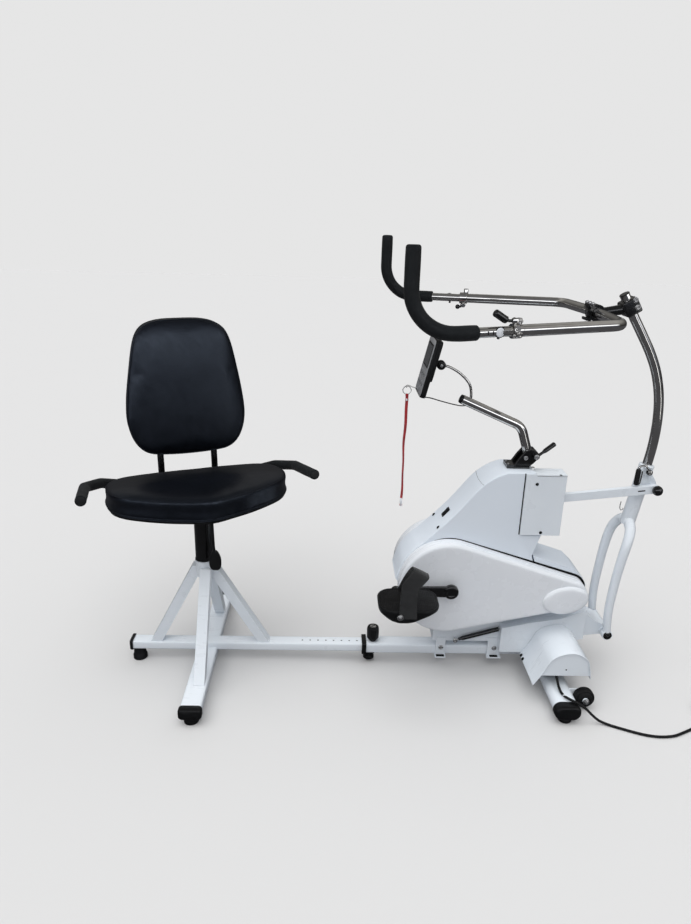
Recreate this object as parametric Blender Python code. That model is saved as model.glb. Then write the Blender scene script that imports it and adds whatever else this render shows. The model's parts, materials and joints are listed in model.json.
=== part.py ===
"""Motorized therapy bike: a swivel seat on a sliding rail, a motor-driven crank and a swinging bar.

Metres, +Z up, the bike stands on z = 0. +X runs from the seat to the fork, -Y is the near side.
The pieces are drawn with X counted from a point near the rail's pin, and FRAME moves them so that
the middle of the bike's box is at the origin. Every moving piece hangs from an empty on its joint.
"""
import math

import bmesh
import bpy
from mathutils import Vector

for thing in list(bpy.data.objects):
    bpy.data.objects.remove(thing, do_unlink=True)

# Driving dimensions
FRAME = Vector((-0.02, 0.0, 0.0))
GAP = 0.0003
X_AXIS = Vector((1, 0, 0))
Y_AXIS = Vector((0, 1, 0))
Z_AXIS = Vector((0, 0, 1))

RAIL_Z = 0.053
OUTER_RAIL = (0.046, 0.031)
OUTER_WALL = 0.0022
SEAT_RAIL = (0.040, 0.025)
SEAT_RAIL_WALL = 0.0022
SEAT_RAIL_SPAN = (-0.665, 0.200)
PIN_X = 0.049
PIN_PITCH = 0.0235
PIN_HOLES = 10

SEAT_X = -0.444
SEAT_TURN = math.radians(20.5)
SEAT_PLATE_Z = 0.500
CUSHION_Z = 0.5065
BACK_LEAN = 0.12

STABILIZER_X = 0.558
WHEEL = Vector((0.622, 0.0, 0.036))
WHEEL_R = 0.028

CRANK = Vector((0.250, 0.0, 0.305))
ARM_LENGTH = 0.152
PEDAL_X = CRANK.x - ARM_LENGTH
PULLEY_R = 0.110
MOTOR = Vector((0.594, 0.0, 0.285))
MOTOR_PULLEY_R = 0.030
GUARD_WHEEL = Vector((0.245, 0.0, 0.300))
GUARD_R = 0.137
GUARD_TAIL_R = 0.044
GUARD_BACK = 0.0585
GUARD_FRONT = 0.100
CASING_HALF = 0.058
CASING_WALL = 0.003
CASING_INSET = 0.006

FORK = Vector((0.727, 0.0, 0.139))
FORK_SIDE = 0.061
SLEEVE_FOOT = Vector((0.761, 0.0, 0.476))
SLEEVE_AXIS = Vector((0.1521, 0.0, 1.0)).normalized()
MAST_R = 0.0125
LINK_AXLE = Vector((0.805, 0.0, 0.586))
LINK_Y = (-0.041, -0.027)

BAR = Vector((0.583, 0.0, 1.054))
BAR_R = 0.013
BAR_CORNER_Y = 0.2165
BAR_BEND = 0.050
BAR_BEND_X = 0.570
BAR_END = Vector((0.290, 0.3183, 1.0496))
GRIP_R = 0.011
GRIP_BORE = 0.0119
FOAM_R = 0.017

POST_PIN = Vector((0.468, 0.0, 0.671))
CONSOLE_PIVOT = Vector((0.197, 0.0, 0.910))
CONSOLE = Vector((0.160, 0.0, 0.9075))
CONSOLE_LEAN = math.radians(13)

CORD_D = 0.007
CORD_PITCH = 0.0084
COIL = Vector((0.985, -0.232, 0.0038))
COIL_R = 0.0495
COIL_TURNS = 6
COIL_STEPS = 24


# Materials
def material(name, colour, roughness, metallic=0.0):
    made = bpy.data.materials.new(name)
    made.use_nodes = True
    shader = made.node_tree.nodes["Principled BSDF"]
    shader.inputs["Base Color"].default_value = (*colour, 1.0)
    shader.inputs["Roughness"].default_value = roughness
    shader.inputs["Metallic"].default_value = metallic
    return made


WHITE_PAINT = ("white_paint", (0.80, 0.84, 0.88), 0.35, 0.0)
WHITE_PLASTIC = ("white_plastic", (0.76, 0.79, 0.82), 0.40, 0.0)
BLACK_PLASTIC = ("black_plastic", (0.015, 0.015, 0.017), 0.45, 0.0)
BLACK_METAL = ("black_metal", (0.012, 0.012, 0.013), 0.30, 0.3)
BLACK_RUBBER = ("black_rubber", (0.018, 0.018, 0.019), 0.70, 0.0)
BLACK_FOAM = ("black_foam", (0.020, 0.022, 0.024), 0.80, 0.0)
BLACK_VINYL = ("black_vinyl", (0.010, 0.011, 0.016), 0.30, 0.0)
CHROME = ("chrome", (0.62, 0.61, 0.60), 0.12, 1.0)
STEEL = ("steel", (0.45, 0.45, 0.46), 0.35, 1.0)
RED_WEBBING = ("red_webbing", (0.55, 0.03, 0.04), 0.70, 0.0)


# Bodies: each is an empty on its joint
bodies = {}


def body(name, origin, parent=None):
    empty = bpy.data.objects.new(name + "_body", None)
    bpy.context.collection.objects.link(empty)
    if parent:
        empty.parent = bodies[parent][0]
        empty.location = origin - bodies[parent][1]
    else:
        empty.location = origin + FRAME
    bodies[name] = (empty, Vector(origin))


# Solids: each is a list of points and a list of faces
def loft(rings):
    count = len(rings[0])
    points = [Vector(point) for ring in rings for point in ring]
    faces = []
    for k in range(len(rings) - 1):
        for i in range(count):
            a = k * count + i
            b = k * count + (i + 1) % count
            faces.append((a, b, b + count, a + count))
    faces.append(tuple(range(count)))
    faces.append(tuple(reversed(range(len(points) - count, len(points)))))
    return points, faces


def merged(*solids):
    points = []
    faces = []
    for solid_points, solid_faces in solids:
        start = len(points)
        points += solid_points
        faces += [tuple(start + i for i in face) for face in solid_faces]
    return points, faces


def mirrored(solid):
    points, faces = solid
    return [Vector((p.x, -p.y, p.z)) for p in points], faces


def side_of(path):
    """A direction square to the path's first step."""
    along = (path[1] - path[0]).normalized()
    helper = Y_AXIS if abs(along.y) < 0.9 else Z_AXIS
    return along.cross(helper).normalized()


def path_rings(path, radii, sides):
    """Round sections along a path, carried on without twist."""
    if not isinstance(radii, (list, tuple)):
        radii = [radii] * len(path)
    across = side_of(path)
    rings = []
    for k, point in enumerate(path):
        before = path[max(k - 1, 0)]
        after = path[min(k + 1, len(path) - 1)]
        along = (after - before).normalized()
        across = (across - along * across.dot(along)).normalized()
        up = along.cross(across)
        turns = [2 * math.pi * i / sides for i in range(sides)]
        rings.append([point + (across * math.cos(t) + up * math.sin(t)) * radii[k] for t in turns])
    return rings


def tube(path, radii, sides=12):
    return loft(path_rings([Vector(p) for p in path], radii, sides))


def sock(path, outer, bore, depth, sides=12):
    """A tube with a blind bore from the path's first point, depth points deep."""
    inner_rings = path_rings(path, bore, sides)[:depth]
    return loft(list(reversed(inner_rings)) + path_rings(path, outer, sides))


def turned(profile, base, axis, sides=16):
    """A shape turned about an axis: the profile lists radius and height."""
    path = [base + axis * height for _, height in profile]
    across = axis.orthogonal().normalized()
    up = axis.cross(across)
    rings = []
    for (radius, _), point in zip(profile, path):
        turns = [2 * math.pi * i / sides for i in range(sides)]
        rings.append([point + (across * math.cos(t) + up * math.sin(t)) * radius for t in turns])
    return loft(rings)


def ring_solid(outer, bore, base, axis, length, sides=20):
    """A plain bush or ring."""
    inside = turned([(bore, 0), (bore, length)], base, axis, sides)[0]
    outside = turned([(outer, 0), (outer, length)], base, axis, sides)[0]
    points = inside + outside
    faces = []
    for i in range(sides):
        j = (i + 1) % sides
        faces.append((i, j, j + sides, i + sides))
        faces.append((i + 2 * sides, j + 2 * sides, j + 3 * sides, i + 3 * sides))
        faces.append((i, j, j + 2 * sides, i + 2 * sides))
        faces.append((i + sides, j + sides, j + 3 * sides, i + 3 * sides))
    return points, faces


PLACE = {
    "X": lambda a, b, t: Vector((t, a, b)),
    "Y": lambda a, b, t: Vector((a, t, b)),
    "Z": lambda a, b, t: Vector((a, b, t)),
}


def prism(outline, axis, low, high):
    """An outline pushed along an axis. The outline holds the other two coordinates in order."""
    place = PLACE[axis]
    return loft([[place(a, b, t) for a, b in outline] for t in (low, high)])


def block(low, high):
    outline = [(low[0], low[1]), (high[0], low[1]), (high[0], high[1]), (low[0], high[1])]
    return prism(outline, "Z", low[2], high[2])


def arc(centre, radius, start, end, steps):
    """Points of an arc, angles in degrees."""
    turns = [math.radians(start + (end - start) * i / steps) for i in range(steps + 1)]
    return [(centre[0] + radius * math.cos(t), centre[1] + radius * math.sin(t)) for t in turns]


def round_rect(centre, width, height, radius, steps=3):
    x = width / 2 - radius
    y = height / 2 - radius
    corners = [(x, y, 0), (-x, y, 90), (-x, -y, 180), (x, -y, 270)]
    outline = []
    for cx, cy, start in corners:
        outline += arc((centre[0] + cx, centre[1] + cy), radius, start, start + 90, steps)
    return outline


def belt_outline(first, first_r, second, second_r, steps=20):
    """The outline of a belt round two wheels, the first one the larger, both in the XZ plane."""
    run = Vector((second.x - first.x, second.z - first.z))
    heading = math.degrees(math.atan2(run.y, run.x))
    spread = math.degrees(math.acos((first_r - second_r) / run.length))
    back = arc((first.x, first.z), first_r, heading + spread, heading + 360 - spread, steps)
    tail = arc((second.x, second.z), second_r, heading - spread, heading + spread, steps // 2)
    return back + tail


def inset(outline, distance):
    """The outline moved inwards, corner by corner. The outline may turn either way."""
    area = 0.0
    for i, (x, y) in enumerate(outline):
        nx, ny = outline[(i + 1) % len(outline)]
        area += x * ny - nx * y
    turn = 1 if area > 0 else -1
    moved = []
    for i, point in enumerate(outline):
        here = Vector(point)
        before = (here - Vector(outline[i - 1])).normalized()
        after = (Vector(outline[(i + 1) % len(outline)]) - here).normalized()
        normal = Vector((-before.y - after.y, before.x + after.x)) * turn
        normal.normalize()
        half = max(0.5, normal.dot(Vector((-before.y, before.x)) * turn))
        moved.append(tuple(here + normal * distance / half))
    return moved


def rounded(points, radii, steps=5):
    """A path whose corners are arcs, of one radius or of one radius each."""
    points = [Vector(p) for p in points]
    if not isinstance(radii, (list, tuple)):
        radii = [radii] * (len(points) - 2)
    path = [points[0]]
    for radius, before, corner, after in zip(radii, points, points[1:], points[2:]):
        into = (before - corner).normalized()
        out = (after - corner).normalized()
        half = into.angle(out) / 2
        back = min(radius / math.tan(half), 0.88 * min((before - corner).length, (after - corner).length))
        reach = back * math.tan(half)
        centre = corner + (into + out).normalized() * (reach / math.sin(half))
        start = corner + into * back - centre
        sweep = math.pi - 2 * half
        axis = start.cross(corner + out * back - centre).normalized()
        across = axis.cross(start)
        for i in range(steps + 1):
            turn = sweep * i / steps
            path.append(centre + start * math.cos(turn) + across * math.sin(turn))
    path.append(points[-1])
    return path


def smooth(points, steps):
    """A smooth curve through the points."""
    points = [Vector(p) for p in points]
    ends = [points[0] * 2 - points[1]] + points + [points[-1] * 2 - points[-2]]
    path = []
    for a, b, c, d in zip(ends, ends[1:], ends[2:], ends[3:]):
        for i in range(steps):
            t = i / steps
            bend = (2 * a - 5 * b + 4 * c - d) * t ** 2 + (3 * b - a - 3 * c + d) * t ** 3
            path.append((2 * b + (c - a) * t + bend) / 2)
    path.append(points[-1])
    return path


# Objects
def hang(name, solid, home):
    empty, origin = bodies[home]
    points, faces = solid
    mesh = bpy.data.meshes.new(name)
    mesh.from_pydata([point - origin for point in points], [], faces)
    work = bmesh.new()
    work.from_mesh(mesh)
    bmesh.ops.recalc_face_normals(work, faces=work.faces)
    work.to_mesh(mesh)
    work.free()
    made = bpy.data.objects.new(name, mesh)
    bpy.context.collection.objects.link(made)
    made.parent = empty
    return made


def node(name, solid, home, finish, add=(), cut=(), sharp=35):
    """One piece of the bike: a solid, what is welded to it and what is cut out of it."""
    made = hang(name, solid, home)
    made.data.materials.append(bpy.data.materials.get(finish[0]) or material(*finish))
    made.data.shade_smooth()
    made.data.set_sharp_from_angle(angle=math.radians(sharp))
    steps = [("UNION", tool) for tool in add] + [("DIFFERENCE", tool) for tool in cut]
    for number, (operation, tool) in enumerate(steps):
        helper = hang(f"{name}_tool_{number}", tool, home)
        helper.display_type = "WIRE"
        helper.hide_render = True
        modifier = made.modifiers.new(f"{operation.lower()}_{number}", "BOOLEAN")
        modifier.operation = operation
        modifier.solver = "EXACT"
        modifier.object = helper
    return made


# The bodies, from the floor up
body("base", Vector((0, 0, 0)))
body("rail_pin", Vector((PIN_X, 0, 0.070)), "base")
body("wheel_near", Vector((WHEEL.x, -0.215, WHEEL.z)), "base")
body("wheel_far", Vector((WHEEL.x, 0.215, WHEEL.z)), "base")
body("crank", CRANK, "base")
body("pedal_near", Vector((PEDAL_X, -0.19, CRANK.z)), "crank")
body("pedal_far", Vector((CRANK.x + ARM_LENGTH, 0.19, CRANK.z)), "crank")
body("motor_shaft", MOTOR, "base")
body("console_post", POST_PIN, "base")
body("post_lever", POST_PIN, "base")
body("console", CONSOLE_PIVOT, "console_post")
body("lanyard", Vector((0.1115, 0, 0.851)), "console")
body("switch", Vector((0.2385, 0, 0.4925)), "base")
body("fork", FORK, "base")
body("link", LINK_AXLE, "fork")
body("mast_lever", Vector((0.783, -0.028, 0.632)), "fork")
body("mast", SLEEVE_FOOT, "fork")
body("bar", BAR, "mast")
body("grip_near", Vector((BAR_END.x, -BAR_END.y, BAR_END.z)), "bar")
body("grip_far", BAR_END, "bar")
body("clamp_near", Vector((0.2965, -0.3160, 1.0708)), "bar")
body("clamp_far", Vector((0.3000, 0.3150, 1.0292)), "bar")
body("carriage", Vector((SEAT_X, 0, 0)), "base")
body("seat_lift", Vector((SEAT_X, 0, 0.36)), "carriage")
body("seat", Vector((SEAT_X, 0, SEAT_PLATE_Z)), "seat_lift")
body("seat_lever", Vector((-0.410, -0.050, 0.497)), "seat")


# Base: rail, front stabilizer and wheel brackets, welded
def rail_section(width, height, radius):
    return round_rect((0, RAIL_Z), width, height, radius)


def base_frame():
    rail = prism(rail_section(*OUTER_RAIL, 0.005), "X", 0.0293, 0.545)
    stabilizer = prism(round_rect((STABILIZER_X, 0.036), 0.068, 0.038, 0.0185, 5), "Y", -0.262, 0.262)
    cavity = prism(rail_section(OUTER_RAIL[0] - 2 * OUTER_WALL, OUTER_RAIL[1] - 2 * OUTER_WALL, 0.003),
                   "X", 0.020, 0.505)
    hole = turned([(0.0045, 0), (0.0045, 0.02)], Vector((PIN_X, 0, 0.060)), Z_AXIS, 16)
    brackets = []
    for side in (-1, 1):
        plate = prism(round_rect((0.610, WHEEL.z), 0.066, 0.028, 0.010), "Y",
                      *sorted((side * 0.194, side * 0.199)))
        axle = turned([(0.0048, 0), (0.0048, 0.0335), (0.0085, 0.0336), (0.0085, 0.0385)],
                      Vector((WHEEL.x, side * 0.196, WHEEL.z)), Y_AXIS * side, 12)
        brackets += [plate, axle]
    node("base_frame", stabilizer, "base", WHITE_PAINT, add=[rail] + brackets, cut=[cavity, hole])


def rail_mouth_collar():
    collar = prism(rail_section(0.054, 0.039, 0.005), "X", 0.016, 0.029)
    tongue = block((0.028, -0.018, 0.0335), (0.054, 0.018, 0.0372))
    foot = turned([(0.0165, 0.010), (0.0165, 0.015), (0.013, 0.017), (0.013, 0.0355)],
                  Vector((0.038, 0, 0)), Z_AXIS, 16)
    mouth = prism(rail_section(SEAT_RAIL[0] + 0.0012, SEAT_RAIL[1] + 0.0012, 0.004), "X", 0.010, 0.040)
    node("rail_mouth_collar", collar, "base", BLACK_PLASTIC, add=[tongue, foot], cut=[mouth])


def front_caps():
    for side, name in ((-1, "near"), (1, "far")):
        rings = []
        for reach, width, height in ((0.2623, 0.072, 0.043), (0.278, 0.072, 0.043),
                                     (0.285, 0.064, 0.036), (0.288, 0.050, 0.024)):
            outline = round_rect((STABILIZER_X, 0.0365), width, height, height / 2 - 0.001, 4)
            rings.append([Vector((x, side * reach, z)) for x, z in outline])
        foot = turned([(0.018, 0), (0.018, 0.010), (0.016, 0.0165)],
                      Vector((STABILIZER_X, side * 0.262, 0)), Z_AXIS, 16)
        node(f"front_cap_{name}", loft(rings), "base", BLACK_PLASTIC, add=[foot])


def transport_wheels():
    for side, name in ((-1, "near"), (1, "far")):
        start = Vector((WHEEL.x, side * 0.2015, WHEEL.z))
        profile = [(0.0051, 0), (0.020, 0), (0.022, 0.002), (0.026, 0.002), (WHEEL_R, 0.005),
                   (WHEEL_R, 0.020), (0.026, 0.023), (0.019, 0.025), (0.0051, 0.025)]
        rings = turned(profile, start, Y_AXIS * side, 18)[0]
        count = 18
        faces = []
        for k in range(len(profile)):
            after = (k + 1) % len(profile)
            for i in range(count):
                j = (i + 1) % count
                faces.append((k * count + i, k * count + j, after * count + j, after * count + i))
        node(f"transport_wheel_{name}", (rings, faces), f"wheel_{name}", BLACK_RUBBER)


def rail_pin_knob():
    profile = [(0.0038, 0.0662), (0.0038, 0.0690), (0.011, 0.0690), (0.011, 0.0775), (0.017, 0.0775),
               (0.018, 0.080), (0.018, 0.112), (0.016, 0.1165), (0.010, 0.1175)]
    node("rail_pin_knob", turned(profile, Vector((PIN_X, 0, 0)), Z_AXIS, 16), "rail_pin", BLACK_PLASTIC)


# Drive frame: the welded box that carries crank, casing, fork and console post
def drive_frame():
    box = prism([(0.420, 0.0688), (0.420, 0.149), (0.503, 0.169), (0.588, 0.183), (0.663, 0.214),
                 (0.662, 0.117), (0.645, 0.113), (0.600, 0.0688)], "Y", -0.055, 0.055)
    channel = block((0.225, -0.028, 0.088), (0.430, 0.028, 0.165))
    web = prism([(0.236, 0.150), (0.222, 0.305), (0.250, 0.345), (0.300, 0.470), (0.395, 0.612),
                 (0.440, 0.612), (0.400, 0.400), (0.425, 0.150)], "Y", -0.012, 0.012)
    bearing = turned([(0.026, 0), (0.026, 0.090)], CRANK - Y_AXIS * 0.045, Y_AXIS, 20)
    clamps = []
    for low, high in ((0.236, 0.264), (0.391, 0.429)):
        for side in (-1, 1):
            near, far = sorted((side * 0.0234, side * 0.0300))
            clamps.append(block((low, near, 0.038), (high, far, 0.100)))
            near, far = sorted((side * 0.0234, side * 0.0400))
            clamps.append(block((low - 0.002, near, 0.0355), (high + 0.002, far, 0.0400)))
    arm = prism([(0.655, 0.200), (0.700, 0.168), (0.735, 0.150), (0.729, 0.127), (0.655, 0.119)],
                "Y", -0.040, 0.040)
    pivot = turned([(0.006, 0), (0.006, 0.0268), (0.0145, 0.0269), (0.0145, 0.1178), (0.006, 0.1179),
                    (0.006, 0.1446)], FORK - Y_AXIS * 0.0723, Y_AXIS, 20)
    hole = turned([(0.0104, 0), (0.0104, 0.2)], CRANK - Y_AXIS * 0.1, Y_AXIS, 20)
    node("drive_frame", box, "base", WHITE_PAINT, add=[channel, web, bearing, *clamps, arm, pivot],
         cut=[hole])


# Casing, guards, hood and boxes: thin moulded shells
def casing_outline(lip=True):
    """Front panel, top, rear, then the tail that follows the guards, and the round bottom."""
    front = [(0.1085, 0.335), (0.121, 0.366), (0.148, 0.401), (0.181, 0.4305), (0.250, 0.503), (0.306, 0.574),
             (0.321, 0.592), (0.338, 0.606), (0.362, 0.622), (0.390, 0.633)]
    rear = [(0.466, 0.633), (0.447, 0.451), (0.499, 0.449), (0.481, 0.387), (0.490, 0.3586)]
    tail = belt_outline(GUARD_WHEEL, GUARD_R - CASING_INSET, MOTOR, GUARD_TAIL_R - CASING_INSET)
    follow = [p for p in reversed(tail) if p[0] > 0.5 or p[1] < 0.290]
    start = ([(0.101, 0.312)] if lip else []) + front + rear
    return start + follow


def panel_box(half_length, half_width, low, high):
    """A box square to the sloped front panel, about the switch."""
    start = Vector((0.189, 0, 0.429))
    along = (Vector((0.306, 0, 0.574)) - start).normalized()
    out = Vector((-along.z, 0, along.x))
    middle = start + along * ((bodies["switch"][1] - start).dot(along))
    return loft([[middle + out * height + along * a * half_length + Y_AXIS * b * half_width
                  for a, b in ((-1, -1), (1, -1), (1, 1), (-1, 1))] for height in (low, high)])


def upper_casing():
    shell = prism(casing_outline(), "Y", -CASING_HALF, CASING_HALF)
    inner = CASING_HALF - CASING_WALL
    cavity = prism(inset(casing_outline(lip=False), CASING_WALL), "Y", -inner, inner)
    slot = block((0.228, -0.0285, 0.150), (0.432, 0.0285, 0.215))
    crank_hole = turned([(0.0265, 0), (0.0265, 0.2)], CRANK - Y_AXIS * 0.1, Y_AXIS, 20)
    shaft_hole = turned([(0.008, 0), (0.008, 0.05)], MOTOR - Y_AXIS * 0.09, Y_AXIS, 12)
    aperture = panel_box(0.0124, 0.0092, -0.012, 0.012)
    node("upper_casing", shell, "base", WHITE_PLASTIC,
         cut=[cavity, slot, crank_hole, shaft_hole, aperture])


def guards():
    outer = belt_outline(GUARD_WHEEL, GUARD_R, MOTOR, GUARD_TAIL_R)
    layers = [(0.0095, 0.0965), (0.0025, 0.0910), (0.0025, GUARD_BACK), (0.0, GUARD_BACK),
              (0.0, 0.0930), (0.0035, 0.0985), (0.0110, GUARD_FRONT)]
    rings = []
    for depth, y in layers:
        rings.append([Vector((x, -y, z)) for x, z in inset(outer, depth)])
    pan = loft(rings)
    tilt = math.radians(9.5)
    dome_rings = []
    for y, scale in ((0.0975, 1.0), (0.104, 1.0), (0.1075, 0.94), (0.1095, 0.78)):
        ring = []
        for i in range(20):
            turn = 2 * math.pi * i / 20
            a = 0.064 * scale * math.cos(turn)
            b = 0.042 * scale * math.sin(turn)
            ring.append(Vector((0.577 + a * math.cos(tilt) - b * math.sin(tilt), -y,
                                0.272 + a * math.sin(tilt) + b * math.cos(tilt))))
        dome_rings.append(ring)
    dome = loft(dome_rings)
    hole = turned([(0.0125, 0), (0.0125, 0.05)], CRANK - Y_AXIS * 0.12, Y_AXIS, 20)
    node("guard_near", pan, "base", WHITE_PLASTIC, add=[dome], cut=[hole])
    node("guard_far", mirrored(pan), "base", WHITE_PLASTIC, add=[mirrored(dome)], cut=[mirrored(hole)])


def rear_hood():
    """A cover that rests on the tail of the casing."""
    rest = belt_outline(GUARD_WHEEL, GUARD_R - CASING_INSET + 0.0006, MOTOR, GUARD_TAIL_R - CASING_INSET + 0.0006)
    under = [p for p in rest if p[0] > 0.50 and p[1] > 0.290]
    top = [(0.4845, 0.3875), (0.605, 0.347), (0.632, 0.322), (0.645, 0.298), (0.641, 0.291)]
    node("rear_hood", prism(top + under + [(0.4935, 0.3590)], "Y", -CASING_HALF, CASING_HALF),
         "base", WHITE_PLASTIC)


def control_box():
    shell = prism([(0.4675, 0.453), (0.548, 0.453), (0.548, 0.631), (0.4675, 0.631)], "Y", -0.0622, -0.010)
    cover = block((0.438, -0.0622, 0.453), (0.470, -0.0586, 0.631))
    cavity = block((0.470, -0.0595, 0.4555), (0.5455, -0.0125, 0.6285))
    slot = block((0.540, -0.0465, 0.534), (0.552, -0.0215, 0.572))
    node("control_box", shell, "base", WHITE_PAINT, add=[cover], cut=[cavity, slot])


def power_unit_cover():
    """A bent sheet arch over the power unit, with an end plate."""
    arch = [(0.481, 0.063), (0.501, 0.096), (0.514, 0.122), (0.524, 0.142), (0.538, 0.154),
            (0.556, 0.1615), (0.572, 0.165), (0.588, 0.165), (0.602, 0.161), (0.614, 0.154),
            (0.624, 0.145), (0.630, 0.135), (0.6365, 0.108), (0.641, 0.083)]
    inner = inset(arch, 0.0025)
    inner[0] = (arch[0][0] + 0.0028, arch[0][1])
    inner[-1] = (arch[-1][0] - 0.0025, arch[-1][1])
    sheet = prism(arch + list(reversed(inner)), "Y", -0.200, -0.0556)
    plate_outline = [(x, max(z, 0.092)) for x, z in inset(arch, 0.0012)[2:-1]] + [(0.6385, 0.092)]
    plate_outline[0] = (0.5003, 0.092)
    plate = prism(plate_outline, "Y", -0.1965, -0.1940)
    node("power_unit_cover", sheet, "base", WHITE_PAINT, add=[plate])


def power_unit():
    """The mains unit under its cover, with the cord's strain relief moulded on its front."""
    unit = block((0.536, -0.130, 0.085), (0.610, -0.0556, 0.138))
    relief = turned([(0.0095, 0), (0.0095, 0.006), (0.0070, 0.009), (0.0050, 0.027)],
                    Vector((0.549, -0.128, 0.095)), -Y_AXIS, 12)
    node("power_unit", unit, "base", BLACK_PLASTIC, add=[relief])


# Drive: motor, belt and pulleys
def drive_train():
    motor = turned([(0.012, 0), (0.030, 0.002), (0.033, 0.006), (0.033, 0.092), (0.030, 0.098),
                    (0.012, 0.100)], MOTOR - Y_AXIS * 0.050, Y_AXIS, 18)
    node("drive_motor", motor, "base", STEEL)
    shaft = turned([(0.0045, 0), (0.0045, 0.0225), (0.0310, 0.0226), (0.0310, 0.0240),
                    (MOTOR_PULLEY_R, 0.0242), (MOTOR_PULLEY_R, 0.0398), (0.0310, 0.0400),
                    (0.0310, 0.0414)], MOTOR - Y_AXIS * 0.0505, -Y_AXIS, 16)
    node("motor_pulley", shaft, "motor_shaft", STEEL)
    outer = belt_outline(CRANK, PULLEY_R + 0.0040, MOTOR, MOTOR_PULLEY_R + 0.0040)
    inner = belt_outline(CRANK, PULLEY_R + 0.0010, MOTOR, MOTOR_PULLEY_R + 0.0010)
    count = len(outer)
    points = []
    for outline, y in ((inner, -0.0895), (outer, -0.0895), (outer, -0.0755), (inner, -0.0755)):
        points += [Vector((x, y, z)) for x, z in outline]
    faces = []
    for k in range(4):
        after = (k + 1) % 4
        for i in range(count):
            j = (i + 1) % count
            faces.append((k * count + i, k * count + j, after * count + j, after * count + i))
    node("drive_belt", (points, faces), "base", BLACK_RUBBER)


def crank_set():
    web = ring_solid(0.094, 0.0103, CRANK - Y_AXIS * 0.085, Y_AXIS, 0.006, 16)
    rim = ring_solid(PULLEY_R, 0.090, CRANK - Y_AXIS * 0.0895, Y_AXIS, 0.0140, 24)
    hub = ring_solid(0.024, 0.0103, CRANK - Y_AXIS * 0.090, Y_AXIS, 0.018, 16)
    node("crank_pulley", rim, "crank", STEEL, add=[web, hub])

    for side, name in ((-1, "near"), (1, "far")):
        end = CRANK + X_AXIS * (ARM_LENGTH * side)
        outline = belt_outline(CRANK, 0.0175, end, 0.0125, 14)
        arm = prism(outline, "Y", *sorted((side * 0.113, side * 0.125)))
        boss = turned([(0.0205, 0), (0.0205, 0.010), (0.018, 0.014)],
                      CRANK + Y_AXIS * side * 0.1135, Y_AXIS * side, 20)
        spindle = turned([(0.0054, 0), (0.0054, 0.136)], end + Y_AXIS * side * 0.120, Y_AXIS * side, 12)
        parts = [boss, spindle]
        if side > 0:
            parts.append(turned([(0.010, 0), (0.010, 0.230)], CRANK - Y_AXIS * 0.1127, Y_AXIS, 20))
        node(f"crank_arm_{name}", arm, "crank", BLACK_METAL, add=parts)


STRAP_EDGES = [(0.0, -0.033, 0.031), (0.3, -0.031, 0.028), (0.6, -0.028, 0.0235), (0.8, -0.022, 0.024),
               (0.92, -0.006, 0.036), (1.0, 0.008, 0.050)]


def strap_edges(middle, height):
    """Where the strap's two edges run at a height above the axle, and how far the left one is lifted."""
    rise = min(1.0, max(0.0, height) / 0.102)
    for (low, left_a, right_a), (high, left_b, right_b) in zip(STRAP_EDGES, STRAP_EDGES[1:]):
        if rise <= high:
            share = (rise - low) / (high - low)
            return (middle + left_a + (left_b - left_a) * share, middle + right_a + (right_b - right_a) * share,
                    0.0105 * rise)


def pedals():
    for side, name in ((-1, "near"), (1, "far")):
        axle = CRANK + X_AXIS * (ARM_LENGTH * side)
        middle = axle.x + 0.025
        rings = []
        for z, long, wide, shift in ((-0.029, 0.052, 0.056, -0.012), (-0.018, 0.094, 0.088, -0.010),
                                     (-0.004, 0.142, 0.112, -0.004), (0.006, 0.158, 0.119, 0.0),
                                     (0.013, 0.160, 0.120, 0.0), (0.016, 0.155, 0.115, 0.0)):
            corner = min(0.042, wide / 2 - 0.006, long / 2 - 0.006)
            outline = round_rect((middle + shift, side * 0.190), long, wide, corner, 4)
            rings.append([Vector((x, y, axle.z + z)) for x, y in outline])
        bore = turned([(0.0058, 0), (0.0058, 0.160)], axle + Y_AXIS * side * 0.110, Y_AXIS * side, 12)
        node(f"pedal_{name}", loft(rings), f"pedal_{name}", BLACK_PLASTIC, cut=[bore])

        arch = [(0.1281, 0.0068), (0.1281, 0.020), (0.134, 0.055), (0.152, 0.086), (0.172, 0.098),
                (0.192, 0.102), (0.212, 0.098), (0.232, 0.086), (0.248, 0.055), (0.2521, 0.020),
                (0.2521, 0.0068)]
        outside = arch
        inside = inset(arch + [(0.19, -0.3)], 0.0015)[:-1]
        inside[0] = (arch[0][0] + 0.0015, arch[0][1])
        inside[-1] = (arch[-1][0] - 0.0015, arch[-1][1])
        rings = []
        for (oy, oz), (iy, iz) in zip(outside, inside):
            left, right, tilt = strap_edges(middle, oz)
            rings.append([Vector((left, side * oy, axle.z + oz + tilt)), Vector((right, side * oy, axle.z + oz - tilt)),
                          Vector((right, side * iy, axle.z + iz - tilt)), Vector((left, side * iy, axle.z + iz + tilt))])
        node(f"pedal_strap_{name}", loft(rings), f"pedal_{name}", BLACK_RUBBER)


# Console: bracket, post, lever, case, cable, lanyard and the power switch
def post_bracket():
    base = block((0.393, -0.0225, 0.6336), (0.455, 0.0225, 0.644))
    ear = [(0.403, 0.638), (0.452, 0.638), (0.466, 0.646), (0.479, 0.660), (0.481, 0.674),
           (0.471, 0.685), (0.452, 0.689), (0.432, 0.684), (0.414, 0.664)]
    ears = [prism(ear, "Y", -0.0225, -0.0145), prism(ear, "Y", 0.0145, 0.0225)]
    hole = turned([(0.0044, 0), (0.0044, 0.1)], POST_PIN - Y_AXIS * 0.05, Y_AXIS, 12)
    node("post_bracket", base, "base", BLACK_METAL, add=ears, cut=[hole])


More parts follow.
